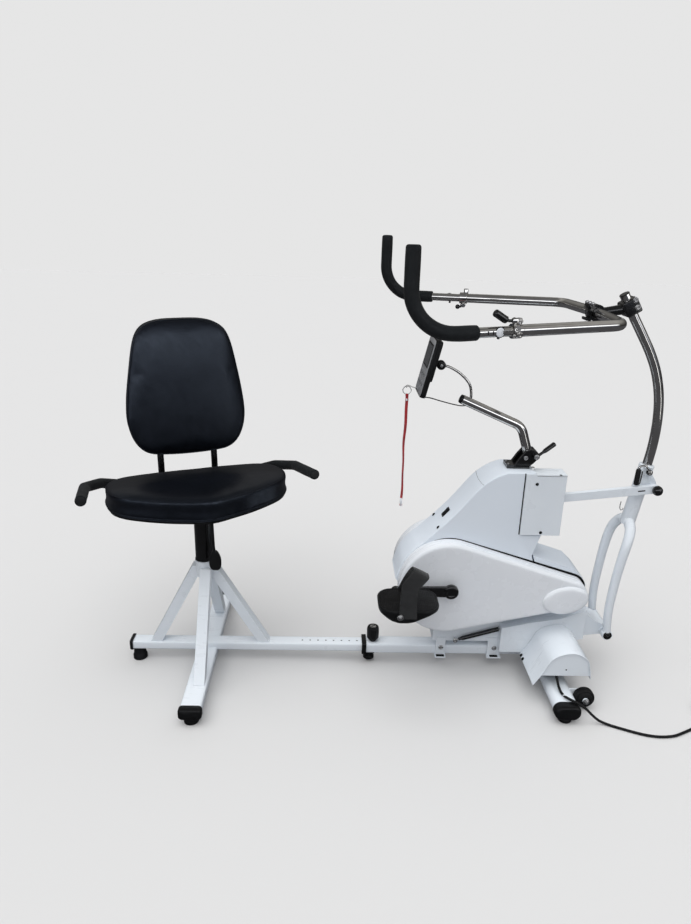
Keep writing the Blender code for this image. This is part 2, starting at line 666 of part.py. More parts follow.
def console_post():
    path = rounded([(0.4530, 0, 0.668), (0.4265, 0, 0.747), (0.2600, 0, 0.8190)], 0.045, 5)
    knuckle = belt_outline(Vector((0.4545, 0, 0.668)), 0.0115, POST_PIN, 0.0105, 12)
    lug = prism(knuckle, "Y", -0.0125, 0.0125)
    neck = tube(smooth([(0.2815, 0, 0.811), (0.2825, 0, 0.835), (0.275, 0, 0.862), (0.250, 0, 0.888),
                        (0.222, 0, 0.904), (0.200, 0, 0.910)], 2), 0.0035, 6)
    knob = turned([(0.008, 0), (0.012, 0.004), (0.012, 0.020), (0.008, 0.024)],
                  CONSOLE_PIVOT - Y_AXIS * 0.012, Y_AXIS, 16)
    hole = turned([(0.0044, 0), (0.0044, 0.1)], POST_PIN - Y_AXIS * 0.05, Y_AXIS, 12)
    node("console_post", tube(path, 0.0125, 12), "console_post", CHROME, add=[lug, neck, knob], cut=[hole])


def post_lever():
    pin = turned([(0.004, 0), (0.004, 0.0475), (0.0085, 0.0476), (0.0085, 0.0515)],
                 POST_PIN - Y_AXIS * 0.0235, Y_AXIS, 12)
    knuckle = turned([(0.0085, 0), (0.0085, 0.011)], POST_PIN - Y_AXIS * 0.0228, -Y_AXIS, 12)
    side = -Y_AXIS * 0.0295
    handle = tube([POST_PIN + side, Vector((0.484, -0.027, 0.682)), Vector((0.489, -0.025, 0.685)),
                   Vector((0.519, -0.014, 0.704))], [0.004, 0.004, 0.0062, 0.0062], 10)
    node("post_lever", pin, "post_lever", BLACK_METAL, add=[knuckle, handle])


def console_case():
    up = Vector((math.sin(CONSOLE_LEAN), 0, math.cos(CONSOLE_LEAN)))
    out = Vector((up.z, 0, -up.x))
    outline = round_rect((0, 0), 0.155, 0.110, 0.010, 2)
    rings = []
    for depth, shrink in ((-0.003, 0.97), (-0.001, 1.0), (0.012, 1.0), (0.016, 0.95)):
        rings.append([CONSOLE + up * a * shrink + Y_AXIS * b * shrink + out * depth for a, b in outline])
    foot = CONSOLE_PIVOT - out * 0.0123
    boss = turned([(0.009, 0), (0.009, 0.012)], foot, -out, 14)
    node("console_case", loft(rings), "console", BLACK_PLASTIC, add=[boss])


def console_cable():
    route = smooth([(0.176, 0, 0.8225), (0.205, 0, 0.8135), (0.240, 0, 0.8035), (0.262, 0, 0.7985),
                    (0.2790, 0, 0.7955)], 3)
    node("console_cable", tube(route, 0.0015, 6), "console_post", BLACK_RUBBER)


def safety_lanyard():
    """A key ring with a webbing strap and a clip."""
    pivot = bodies["lanyard"][1]
    middle = pivot - Z_AXIS * 0.010
    loop = []
    for k in range(14):
        turn = 2 * math.pi * k / 14
        out = X_AXIS * math.cos(turn) + Z_AXIS * math.sin(turn)
        loop.append([middle + out * (0.010 + 0.0012 * math.cos(t)) + Y_AXIS * 0.0012 * math.sin(t)
                     for t in [2 * math.pi * i / 6 for i in range(6)]])
    points = [point for ring in loop for point in ring]
    faces = []
    for k in range(14):
        after = (k + 1) % 14
        for i in range(6):
            j = (i + 1) % 6
            faces.append((k * 6 + i, k * 6 + j, after * 6 + j, after * 6 + i))
    strap = block((pivot.x - 0.001, -0.0045, 0.530), (pivot.x + 0.001, 0.0045, 0.8305))
    clip = block((pivot.x - 0.003, -0.006, 0.508), (pivot.x + 0.003, 0.006, 0.532))
    node("safety_lanyard", (points, faces), "lanyard", RED_WEBBING, add=[strap, clip])


def power_switch():
    """A rocker in the sloped front panel."""
    node("power_switch", panel_box(0.011, 0.0082, -0.0035, 0.0040), "switch", BLACK_PLASTIC)


# Swinging bar: fork, link, mast, stem, handlebar, grips and levers
def fork():
    sleeve_top = SLEEVE_FOOT + SLEEVE_AXIS * 0.171
    sleeve = tube([SLEEVE_FOOT - SLEEVE_AXIS * 0.010, sleeve_top], 0.020, 18)
    legs = []
    for side in (-1, 1):
        y = side * FORK_SIDE
        route = smooth([(0.727, y, 0.1395), (0.7215, y, 0.219), (0.727, y, 0.317), (0.735, y, 0.387),
                        (0.744, y * 0.93, 0.432), (0.7545, y * 0.62, 0.463), (0.760, y * 0.05, 0.482)], 2)
        radii = [0.0112 + 0.0036 * k / (len(route) - 1) for k in range(len(route))]
        legs.append(tube(route, radii, 10))
        legs.append(turned([(0.015, 0), (0.015, 0.018)], Vector((FORK.x, side * 0.052, FORK.z)),
                           Y_AXIS * side, 14))
    gusset = prism([(0.775, 0.628), (0.795, 0.630), (0.816, 0.597), (0.8165, 0.582), (0.800, 0.571),
                    (0.770, 0.572)], "Y", -0.012, 0.012)
    axle = turned([(0.007, 0), (0.007, 0.0313), (0.011, 0.0314), (0.0135, 0.036), (0.0135, 0.044),
                   (0.0105, 0.0495), (0.005, 0.0515)], LINK_AXLE - Y_AXIS * 0.010, -Y_AXIS, 12)
    clamp = block((0.772, -0.026, 0.620), (0.794, 0.0, 0.644))
    bore = tube([SLEEVE_FOOT + SLEEVE_AXIS * 0.030, SLEEVE_FOOT + SLEEVE_AXIS * 0.2], MAST_R + GAP, 14)
    eyes = turned([(0.0063, 0), (0.0063, 0.2)], FORK - Y_AXIS * 0.1, Y_AXIS, 12)
    node("fork", sleeve, "fork", WHITE_PAINT, add=legs + [gusset, axle, clamp], cut=[bore, eyes])


def link_bar():
    eye = (LINK_AXLE.x, LINK_AXLE.z)
    slope = Vector((0.297, 0.0355)).normalized()
    angle = math.degrees(math.atan2(slope.y, slope.x))
    far = Vector(eye) - slope * 0.299
    across = Vector((-slope.y, slope.x)) * 0.011
    outline = [tuple(far + across), tuple(far - across)]
    outline += arc(eye, 0.0115, angle - 90, angle + 90, 8)
    hole = turned([(0.0073, 0), (0.0073, 0.1)], LINK_AXLE - Y_AXIS * 0.08, Y_AXIS, 16)
    node("link_bar", prism(outline, "Y", *LINK_Y), "link", WHITE_PAINT, cut=[hole])


def mast_lever():
    pivot = bodies["mast_lever"][1]
    barrel = turned([(0.0075, 0), (0.0075, 0.009)], Vector((pivot.x, -0.0263, pivot.z)), -Y_AXIS, 14)
    y = -0.0325
    hook = tube(rounded([(pivot.x, y, pivot.z), (0.770, y, 0.652), (0.752, y, 0.650), (0.751, y, 0.632)],
                        0.008, 3), 0.003, 8)
    grip = tube([(0.7512, y, 0.638), (0.7500, y, 0.597)], 0.0065, 12)
    node("mast_lever", barrel, "mast_lever", BLACK_METAL, add=[hook, grip])


MAST_TOP = Vector((0.6510, 0.0, 1.1010))
MAST_HEAD = Vector((0.6870, 0.0, 1.0410))


def mast():
    low = [SLEEVE_FOOT + SLEEVE_AXIS * reach for reach in (0.0546, 0.100, 0.150, 0.186)]
    curve = [(0.7925, 0, 0.694), (0.7942, 0, 0.732), (0.7936, 0, 0.772), (0.7890, 0, 0.8185),
             (0.7795, 0, 0.864), (0.7640, 0, 0.9100), (0.7422, 0, 0.954), (0.7150, 0, 0.998), MAST_HEAD]
    path = low[:2] + smooth(low[2:] + curve, 2) + [MAST_TOP]
    node("mast", tube(path, MAST_R, 14), "mast", CHROME)


def stem():
    lean = (MAST_TOP - MAST_HEAD).normalized()
    across = Vector((lean.z, 0, -lean.x))
    middle = MAST_HEAD + lean * 0.0345
    corners = [middle + lean * a * 0.020 + across * b * 0.0205 for a, b in ((-1, -1), (1, -1), (1, 1), (-1, 1))]
    clamp = prism([(p.x, p.z) for p in corners], "Y", -0.021, 0.021)
    ring = turned([(0.0200, 0), (0.0215, 0.003), (0.0215, 0.029), (0.0200, 0.032)],
                  BAR - Y_AXIS * 0.016, Y_AXIS, 16)
    arm = prism([(0.590, 1.042), (0.660, 1.051), (0.660, 1.078), (0.590, 1.066)], "Y", -0.012, 0.012)
    mast_bore = tube([MAST_HEAD - lean * 0.02, MAST_TOP + lean * 0.02], MAST_R + GAP, 14)
    bar_bore = turned([(0.0137, 0), (0.0137, 0.1)], BAR - Y_AXIS * 0.05, Y_AXIS, 14)
    node("stem", clamp, "mast", BLACK_METAL, add=[arm, ring], cut=[mast_bore, bar_bore])


def arm_frame(side):
    """The mouth of a handlebar arm and the direction that it runs, towards the grip."""
    mouth = Vector((BAR_END.x, side * BAR_END.y, BAR_END.z))
    corner = Vector((BAR.x, side * BAR_CORNER_Y, BAR.z))
    return mouth, (mouth - corner).normalized()


def handlebar():
    near, near_run = arm_frame(-1)
    far, far_run = arm_frame(1)
    corners = []
    for mouth, run in ((near, near_run), (far, far_run)):
        corners.append(mouth - run * ((BAR_BEND_X - mouth.x) / -run.x))
    path = rounded([near, corners[0], (BAR.x, -0.060, BAR.z), (BAR.x, 0.060, BAR.z), corners[1], far],
                   [BAR_BEND, 0.150, 0.150, BAR_BEND], 5)
    collars = []
    bores = []
    for mouth, run in ((near, near_run), (far, far_run)):
        collars.append(tube([mouth - run * 0.022, mouth], 0.0162, 14))
        collars.append(tube([mouth - run * 0.017 + Z_AXIS * 0.010, mouth - run * 0.017 + Z_AXIS * 0.027],
                            0.0065, 8))
        bores.append(tube([mouth - run * 0.160, mouth + run * 0.02], GRIP_BORE, 12))
    bar = node("handlebar_frame", tube(path, BAR_R, 14), "bar", CHROME, add=collars, cut=bores)
    return bar


def grip_path(side):
    """From inside the arm, along it, round in plan and up."""
    mouth, run = arm_frame(side)
    turn = mouth + run * 0.125
    y = turn.y
    return rounded([mouth - run * 0.090, turn, (0.069, y, 1.0465), (0.069, y * 0.985, 1.222)], [0.050, 0.091], 6)


def grips():
    for side, name in ((-1, "near"), (1, "far")):
        path = grip_path(side)
        mouth, run = arm_frame(side)
        foam_start = mouth + run * 0.083
        covered = [foam_start] + [p for p in path if (p - foam_start).dot(run) > 0.002]
        short = path[:-1] + [path[-1] - Z_AXIS * 0.004]
        node(f"grip_tube_{name}", tube(short, GRIP_R, 10), f"grip_{name}", CHROME)
        foam = sock(covered[:-1] + [path[-1] - Z_AXIS * 0.0036, path[-1]],
                    [FOAM_R] * (len(covered)) + [FOAM_R - 0.004], GRIP_BORE, len(covered), 10)
        node(f"grip_foam_{name}", foam, f"grip_{name}", BLACK_FOAM)


def clamp_levers():
    """The near one stands up beside its clamp, the far one is turned under the bar."""
    near = bodies["clamp_near"][1]
    handle = tube([near, near + Vector((-0.018, -0.004, 0.001)), near + Vector((-0.021, -0.0045, 0.002)),
                   near + Vector((-0.0475, -0.009, 0.0185))], [0.0035, 0.0035, 0.0065, 0.0065], 10)
    node("clamp_lever_near", handle, "clamp_near", BLACK_METAL)
    far = bodies["clamp_far"][1]
    handle = tube([far, far + Vector((-0.006, 0.001, -0.0045)), far + Vector((-0.009, 0.002, -0.005)),
                   far + Vector((-0.022, 0.004, -0.006))], [0.0035, 0.0035, 0.0065, 0.0060], 10)
    node("clamp_lever_far", handle, "clamp_far", BLACK_METAL)


# Seat carriage: rail, stabilizer, tower and their caps
def seat_base_frame():
    rail = prism(rail_section(*SEAT_RAIL, 0.004), "X", *SEAT_RAIL_SPAN)
    stabilizer = prism(round_rect((SEAT_X, 0.036), 0.057, 0.028, 0.006), "Y", -0.285, 0.285)
    cavity = prism(rail_section(SEAT_RAIL[0] - 2 * SEAT_RAIL_WALL, SEAT_RAIL[1] - 2 * SEAT_RAIL_WALL, 0.002),
                   "X", SEAT_RAIL_SPAN[0] - 0.01, SEAT_RAIL_SPAN[1] + 0.01)
    holes = [turned([(0.003, 0), (0.003, 0.012)], Vector((PIN_X - PIN_PITCH * n, 0, 0.058)), Z_AXIS, 8)
             for n in range(PIN_HOLES)]
    node("seat_base_frame", rail, "carriage", WHITE_PAINT, add=[stabilizer], cut=[cavity, merged(*holes)])


def seat_tower():
    sleeve = turned([(0.027, 0.285), (0.027, 0.335)], Vector((SEAT_X, 0, 0)), Z_AXIS, 20)
    half = 0.0165
    braces = []
    for foot, head in ((-0.595, -0.462), (-0.277, -0.426)):
        outline = [(foot - half, 0.0658), (foot + half, 0.0658), (head + half, 0.318), (head - half, 0.318)]
        braces.append(prism(outline, "Y", -0.015, 0.015))
    for side in (-1, 1):
        foot = side * 0.185
        head = side * 0.018
        outline = [(foot - half, 0.0503), (foot + half, 0.0503), (head + half, 0.318), (head - half, 0.318)]
        braces.append(prism(outline, "X", SEAT_X - 0.008, SEAT_X + 0.022))
    bore = turned([(0.0147, 0.2), (0.0147, 0.4)], Vector((SEAT_X, 0, 0)), Z_AXIS, 20)
    node("seat_tower", sleeve, "carriage", WHITE_PAINT, add=braces, cut=[bore])


def carriage_caps():
    for side, name in ((-1, "near"), (1, "far")):
        rings = []
        for reach, width, height in ((0.2853, 0.062, 0.034), (0.300, 0.062, 0.034), (0.306, 0.052, 0.026)):
            outline = round_rect((SEAT_X, 0.036), width, height, 0.010)
            rings.append([Vector((x, side * reach, z)) for x, z in outline])
        foot = turned([(0.0195, 0), (0.0195, 0.012), (0.018, 0.0215)],
                      Vector((SEAT_X, side * 0.281, 0)), Z_AXIS, 16)
        node(f"rear_cap_{name}", loft(rings), "carriage", BLACK_PLASTIC, add=[foot])
    end = SEAT_RAIL_SPAN[0]
    plate = prism(rail_section(0.046, 0.032, 0.006), "X", end - 0.009, end - GAP)
    foot = turned([(0.0205, 0), (0.0205, 0.012), (0.0185, 0.022), (0.0185, 0.0401)],
                  Vector((end + 0.014, 0, 0)), Z_AXIS, 16)
    node("rail_end_cap", plate, "carriage", BLACK_PLASTIC, add=[foot])


def seat_post():
    axis = Vector((SEAT_X, 0, 0))
    profile = [(0.0143, 0.475), (0.0143, 0.360), (0.010, 0.359), (0.010, 0.2251), (0.014, 0.225),
               (0.014, 0.3352), (0.0250, 0.3353), (0.0250, 0.472), (0.0235, 0.475)]
    solid = turned(profile[4:] + profile[:2], axis, Z_AXIS, 20)
    node("gas_cylinder", solid, "carriage", BLACK_METAL)
    rod = turned([(0.012, 0.362), (0.014, 0.364), (0.014, SEAT_PLATE_Z - GAP)], axis, Z_AXIS, 20)
    node("piston_rod", rod, "seat_lift", CHROME)


# Seat: everything that turns on the post
FORWARD = Vector((math.sin(SEAT_TURN), -math.cos(SEAT_TURN), 0))
RIGHT = Vector((math.cos(SEAT_TURN), math.sin(SEAT_TURN), 0))


def seat_point(s, f, z):
    return Vector((SEAT_X, 0, z)) + RIGHT * s + FORWARD * f


def handle_path():
    half = [(0.15, -0.215, 0.503), (0.212, -0.201, 0.514), (0.256, -0.163, 0.537), (0.301, -0.098, 0.553),
            (0.313, 0.052, 0.575)]
    corners = [seat_point(-s, f, z) for s, f, z in reversed(half)] + [seat_point(*p) for p in half]
    return rounded(corners, 0.055, 3)


def seat_frame():
    plate = loft([[seat_point(s, f, z) for s, f in round_rect((0, -0.085), 0.110, 0.250, 0.015)]
                  for z in (SEAT_PLATE_Z, CUSHION_Z - GAP)])
    bend = tube(handle_path(), 0.011, 10)
    posts = []
    for s in (-0.08, 0.08):
        route = rounded([seat_point(s, -0.215, 0.503), seat_point(s, -0.2175, 0.555),
                         seat_point(s, -0.2235, 0.610), seat_point(s, -0.2475, 0.800)], 0.030, 2)
        posts.append(tube(route, 0.0095, 10))
    strap = []
    for z in (0.700, 0.745):
        back = -0.219 - (z - 0.593) * BACK_LEAN
        strap.append([seat_point(s, back + t, z) for s, t in ((-0.09, 0), (0.09, 0), (0.09, 0.004), (-0.09, 0.004))])
    node("seat_frame", bend, "seat", BLACK_METAL, add=[plate, *posts, loft(strap)])


def seat_grips():
    path = handle_path()
    for ends, name in ((path, "left"), (list(reversed(path)), "right")):
        tip = ends[0] + (ends[0] - ends[1]).normalized() * 0.004
        covered = []
        run = 0.0
        for before, after in zip(ends, ends[1:]):
            covered.append(before)
            run += (after - before).length
            if run > 0.300:
                break
        route = list(reversed(covered))
        end = route[-1] + (tip - route[-1]) * 0.15
        foam = sock(route[:-1] + [end, tip], [0.016] * len(route) + [0.013], GRIP_BORE, len(route), 10)
        node(f"seat_grip_{name}", foam, "seat", BLACK_FOAM)


def cushion_rings(outline, layers, place):
    """Rings of an outline drawn in towards its middle, one for each layer."""
    rings = []
    for level, drawn in layers:
        rings.append([place(a * (1 - drawn / 0.2), b * (1 - drawn / 0.2), level) for a, b in outline])
    return rings


def closed_outline(half, steps):
    """A smooth outline, given its right half from front to back."""
    whole = half + [(-a, b) for a, b in reversed(half[1:-1])]
    loop = [Vector((a, b, 0)) for a, b in whole]
    around = loop[-2:] + loop + loop[:2]
    path = smooth(around, steps)[2 * steps:(len(loop) + 2) * steps]
    return [(p.x, p.y) for p in path]


def seat_cushion():
    """Vinyl over foam: piped near its base, sides drawn in, a defined rim and a crowned top."""
    half = [(0, 0.150), (0.067, 0.130), (0.119, 0.109), (0.170, 0.081), (0.215, 0.049), (0.243, 0.010),
            (0.252, -0.040), (0.249, -0.085), (0.234, -0.120), (0.200, -0.141), (0.100, -0.150), (0, -0.151)]
    outline = closed_outline(half, 2)
    layers = [(CUSHION_Z, 0.010), (0.510, 0.003), (0.516, 0.0), (0.520, 0.004), (0.540, 0.006),
              (0.556, 0.003), (0.566, 0.0035), (0.572, 0.010), (0.577, 0.028), (0.581, 0.060),
              (0.584, 0.105), (0.586, 0.150)]

    def place(a, b, z):
        return seat_point(a, b, z + 0.10 * min(0.0, b) * max(0.0, z - 0.520) / 0.046)

    node("seat_cushion", loft(cushion_rings(outline, layers, place)), "seat", BLACK_VINYL, sharp=60)


def back_cushion():
    """Vinyl over foam, crowned to the front, piped round its edge."""
    half = [(0, 0.600), (0.085, 0.602), (0.120, 0.610), (0.142, 0.628), (0.159, 0.658), (0.169, 0.7015),
            (0.1665, 0.748), (0.161, 0.7915), (0.151, 0.848), (0.138, 0.917), (0.121, 0.958), (0.093, 0.977),
            (0.055, 0.985), (0, 0.986)]
    middle = 0.79
    outline = [(a, b) for a, b in closed_outline([(a, b - middle) for a, b in half], 2)]
    layers = [(-0.028, 0.012), (-0.024, 0.003), (-0.019, 0.0), (-0.014, 0.004), (0.0, 0.005),
              (0.014, 0.003), (0.020, 0.002), (0.026, 0.012), (0.031, 0.035), (0.035, 0.070), (0.038, 0.120)]

    def place(a, b, depth):
        z = middle + b
        return seat_point(a, -0.180 + depth - (z - 0.593) * BACK_LEAN, z)

    node("back_cushion", loft(cushion_rings(outline, layers, place)), "seat", BLACK_VINYL, sharp=60)


def seat_lever():
    top = bodies["seat_lever"][1]
    rod = tube([top, Vector((top.x + 0.002, top.y, 0.400)), Vector((top.x + 0.004, top.y, 0.375))], 0.004, 8)
    middle = Vector((-0.405, top.y, 0.352))
    rings = []
    for z, half in ((-0.027, 0.008), (-0.020, 0.0145), (-0.005, 0.017), (0.010, 0.0165), (0.024, 0.012),
                    (0.034, 0.006)):
        outline = round_rect((0, 0), 2 * half, 0.007, 0.003, 2)
        rings.append([middle + Vector((x, y, z)) for x, y in outline])
    node("seat_lever", loft(rings), "seat_lever", BLACK_PLASTIC, add=[rod])


# Mains cord: a free stretch, a coil of the length that is put away, and a plug
CORD_ROUTE = [(0.549, -0.1553, 0.0950), (0.5488, -0.1680, 0.0946), (0.5484, -0.1800, 0.0912),
              (0.5484, -0.1905, 0.0838), (0.5492, -0.2005, 0.0745), (0.5505, -0.2110, 0.0660),
              (0.5525, -0.2240, 0.0606), (0.5565, -0.2400, 0.0596), (0.5630, -0.2540, 0.0622),
              (0.5730, -0.2655, 0.0628), (0.5880, -0.2735, 0.0590), (0.6060, -0.2775, 0.0470),
              (0.6240, -0.2785, 0.0290), (0.6440, -0.2805, 0.0125), (0.6680, -0.2870, 0.0048),
              (0.6940, -0.2990, 0.0038), (0.7220, -0.3120, 0.0038), (0.7530, -0.3240, 0.0038),
              (0.7880, -0.3305, 0.0038), (0.8280, -0.3270, 0.0038), (0.8640, -0.3120, 0.0038),
              (0.8980, -0.2960, 0.0038), (0.9300, -0.2850, 0.0038), (0.9580, -0.2815, 0.0038),
              (0.9775, -0.2815, 0.0038)]


def cord_curve(name, points, resolution):
    empty, origin = bodies["base"]
    curve = bpy.data.curves.new(name, "CURVE")
    curve.dimensions = "3D"
    curve.bevel_depth = CORD_D / 2
    curve.bevel_resolution = resolution
    curve.use_fill_caps = True
    spline = curve.splines.new("POLY")
    spline.points.add(len(points) - 1)
    for place, point in zip(spline.points, points):
        place.co = (*(Vector(point) - origin), 1.0)
    made = bpy.data.objects.new(name, curve)
    bpy.context.collection.objects.link(made)
    made.parent = empty
    curve.materials.append(bpy.data.materials.get(BLACK_RUBBER[0]) or material(*BLACK_RUBBER))


def power_cord():
    cord_curve("power_cord", smooth(CORD_ROUTE, 2), 2)


def coil_points():
    """Loops that spiral in on the floor, climb a layer in half a turn and spiral out again."""
    inward = (COIL_TURNS - 0.5) / 2
    points = [COIL + Vector((-CORD_D - GAP, -COIL_R, 0)), COIL + Vector((-GAP, -COIL_R, 0))]
    for step in range(1, COIL_TURNS * COIL_STEPS + 1):
        turns = step / COIL_STEPS
        wound = min(turns, inward) - max(0.0, turns - inward - 0.5)
        climb = min(max((turns - inward) / 0.5, 0.0), 1.0)
        radius = COIL_R - CORD_PITCH * wound
        angle = 2 * math.pi * turns - math.pi / 2
        points.append(COIL + Vector((radius * math.cos(angle), radius * math.sin(angle), CORD_PITCH * climb)))
    for reach in (0.015, 0.030, 0.044):
        points.append(COIL + Vector((reach, -COIL_R, CORD_PITCH)))
    return points


def least_gap(points):
    """The least gap between stretches of the cord that are not neighbours."""
    least = 1.0
    skip = COIL_STEPS // 2
    for i in range(len(points)):
        for j in range(i + skip, len(points)):
            least = min(least, (points[i] - points[j]).length - CORD_D)
    return least


def cord_coil():
    points = coil_points()
    cord_curve("cord_coil", points, 1)
    print(f"cord_coil: least gap to itself {1000 * least_gap(points):.2f} mm")


def power_plug():
    """A plain moulded plug with two flat pins and a tapered relief."""
    start = COIL + Vector((0.044 + GAP, -COIL_R, CORD_PITCH))
    relief = turned([(0.0045, 0), (0.0065, 0.018), (0.0075, 0.022)], start, X_AXIS, 12)
    rings = []
    for reach, width, height in ((0.016, 0.016, 0.014), (0.022, 0.026, 0.020), (0.044, 0.028, 0.021),
                                 (0.050, 0.024, 0.019)):
        outline = round_rect((start.y, start.z), width, height, 0.005, 2)
        rings.append([Vector((start.x + reach, y, z)) for y, z in outline])
    pins = []
    for side in (-1, 1):
        low = start + Vector((0.045, side * 0.0063 - 0.0008, -0.003))
        pins.append(block(low, low + Vector((0.022, 0.0016, 0.006))))
    node("power_plug", loft(rings), "base", BLACK_RUBBER, add=[relief, *pins])


for build in (base_frame, rail_mouth_collar, front_caps, transport_wheels, rail_pin_knob, drive_frame,
              upper_casing, guards, rear_hood, control_box, power_unit_cover, power_unit, drive_train,
              crank_set, pedals, post_bracket, console_post, post_lever, console_case, console_cable,
              safety_lanyard, power_switch, fork, link_bar, mast_lever, mast, stem, handlebar, grips,
              clamp_levers, seat_base_frame, seat_tower, carriage_caps, seat_post, seat_frame, seat_grips,
              seat_cushion, back_cushion, seat_lever, power_cord, cord_coil, power_plug):
    build()
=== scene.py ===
"""Looks of the motorized therapy bike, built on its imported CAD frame.

Metres, +Z up. Pieces are drawn with X counted from a point near the rail's pin, as in the part's
source, and SHIFT moves them to the frame's origin. -Y is the near side, the photograph's side.
"""
import json
from math import acos, atan2, copysign, cos, degrees, pi, radians, sin, tan

import bmesh
import bpy
from mathutils import Matrix, Vector

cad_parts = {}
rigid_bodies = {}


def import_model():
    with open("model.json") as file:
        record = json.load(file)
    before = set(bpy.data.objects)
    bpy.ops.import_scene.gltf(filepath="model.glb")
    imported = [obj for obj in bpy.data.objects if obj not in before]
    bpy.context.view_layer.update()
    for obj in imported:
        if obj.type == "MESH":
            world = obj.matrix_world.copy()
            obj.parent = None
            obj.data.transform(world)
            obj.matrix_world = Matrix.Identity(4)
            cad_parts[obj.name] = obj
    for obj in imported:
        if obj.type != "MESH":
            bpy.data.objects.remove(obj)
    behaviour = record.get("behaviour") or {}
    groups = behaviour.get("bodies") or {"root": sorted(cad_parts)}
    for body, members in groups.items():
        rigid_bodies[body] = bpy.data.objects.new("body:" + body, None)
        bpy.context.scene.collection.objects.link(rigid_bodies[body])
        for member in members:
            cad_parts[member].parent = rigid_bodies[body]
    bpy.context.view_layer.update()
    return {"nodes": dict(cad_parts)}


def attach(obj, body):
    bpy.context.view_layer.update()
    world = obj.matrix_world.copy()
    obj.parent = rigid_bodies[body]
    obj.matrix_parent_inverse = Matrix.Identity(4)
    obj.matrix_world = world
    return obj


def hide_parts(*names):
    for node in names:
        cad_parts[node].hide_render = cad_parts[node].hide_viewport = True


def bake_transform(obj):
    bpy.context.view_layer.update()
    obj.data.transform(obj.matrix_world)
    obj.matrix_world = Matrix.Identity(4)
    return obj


for thing in list(bpy.data.objects):
    bpy.data.objects.remove(thing, do_unlink=True)

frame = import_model()


# The photograph's view, from in front of the near side, 1.27 m up and looking down at 19.5 degrees.
# The camera's place, turn and roll come from lining the object's parts up with the picture.
def xyz(x, y, z):
    return Vector((x, y, z))


Z_AXIS = xyz(0, 0, 1)


def make_camera():
    pitch = radians(19.5)
    roll = radians(1.48)
    yaw = radians(1.39)
    ahead = xyz(sin(yaw), cos(yaw), 0)
    right = xyz(cos(yaw), -sin(yaw), 0)
    look = ahead * cos(pitch) - Z_AXIS * sin(pitch)
    up = Z_AXIS * cos(pitch) + ahead * sin(pitch)
    side = right * cos(roll) + up * sin(roll)
    top = up * cos(roll) - right * sin(roll)
    place = xyz(-0.11, -1.79, 1.27)
    rows = [(side[i], top[i], -look[i], place[i]) for i in range(3)]
    camera = bpy.data.objects.new("camera", bpy.data.cameras.new("camera"))
    camera.data.lens = 27
    camera.data.sensor_width = 36
    camera.data.sensor_fit = "AUTO"
    camera.data.clip_start = 0.01
    camera.matrix_world = Matrix(rows + [(0, 0, 0, 1)])
    bpy.context.collection.objects.link(camera)
    bpy.context.scene.camera = camera


make_camera()


# Mains cord: a round black rubber lead, 7 mm thick and 2 m long, out of the mains unit's moulded strain
# relief. What the view leaves out is wound into a tied coil on the floor, and ends in a two-pin plug.
SHIFT = xyz(-0.02, 0.0, 0.0)
X_AXIS = xyz(1, 0, 0)


def loft(rings, closed=False):
    count = len(rings[0])
    points = [Vector(point) for ring in rings for point in ring]
    faces = []
    last = len(rings) if closed else len(rings) - 1
    for k in range(last):
        after = (k + 1) % len(rings)
        for i in range(count):
            j = (i + 1) % count
            faces.append((k * count + i, k * count + j, after * count + j, after * count + i))
    if not closed:
        faces.append(tuple(range(count)))
        faces.append(tuple(reversed(range(len(points) - count, len(points)))))
    return points, faces


def merged(*solids):
    points = []
    faces = []
    for solid_points, solid_faces in solids:
        start = len(points)
        points += solid_points
        faces += [tuple(start + i for i in face) for face in solid_faces]
    return points, faces


def ring_tube(path, radius, sides=8):
    """A tube along a closed path."""
    path = [Vector(p) for p in path]
    rings = []
    middle = sum(path, Vector()) / len(path)
    for k, point in enumerate(path):
        along = (path[(k + 1) % len(path)] - path[k - 1]).normalized()
        out = point - middle
        out = (out - along * out.dot(along)).normalized()
        up = along.cross(out)
        turns = [2 * pi * i / sides for i in range(sides)]
        rings.append([point + (out * cos(t) + up * sin(t)) * radius for t in turns])
    return loft(rings, closed=True)


def turned(profile, base, axis, sides=36, closed=False):
    """A shape turned about an axis: the profile lists radius and height."""
    axis = Vector(axis).normalized()
    base = Vector(base)
    across = axis.orthogonal().normalized()
    up = axis.cross(across)
    rings = []
    for radius, height in profile:
        turns = [2 * pi * i / sides for i in range(sides)]
        rings.append([base + axis * height + (across * cos(t) + up * sin(t)) * radius for t in turns])
    return loft(rings, closed=closed)


PLACE = {"X": lambda a, b, t: xyz(t, a, b), "Y": lambda a, b, t: xyz(a, t, b), "Z": lambda a, b, t: xyz(a, b, t)}


def prism(outline, axis, low, high):
    """An outline pushed along an axis. The outline holds the other two coordinates in order."""
    place = PLACE[axis]
    return loft([[place(a, b, t) for a, b in outline] for t in (low, high)])


def block(low, high):
    outline = [(low[0], low[1]), (high[0], low[1]), (high[0], high[1]), (low[0], high[1])]
    return prism(outline, "Z", low[2], high[2])


def arc(centre, radius, start, end, steps):
    """Points of an arc, angles in degrees."""
    turns = [radians(start + (end - start) * i / steps) for i in range(steps + 1)]
    return [(centre[0] + radius * cos(t), centre[1] + radius * sin(t)) for t in turns]


def round_rect(centre, width, height, radius, steps=5):
    x = width / 2 - radius
    y = height / 2 - radius
    outline = []
    for cx, cy, start in ((x, y, 0), (-x, y, 90), (-x, -y, 180), (x, -y, 270)):
        outline += arc((centre[0] + cx, centre[1] + cy), radius, start, start + 90, steps)
    return outline


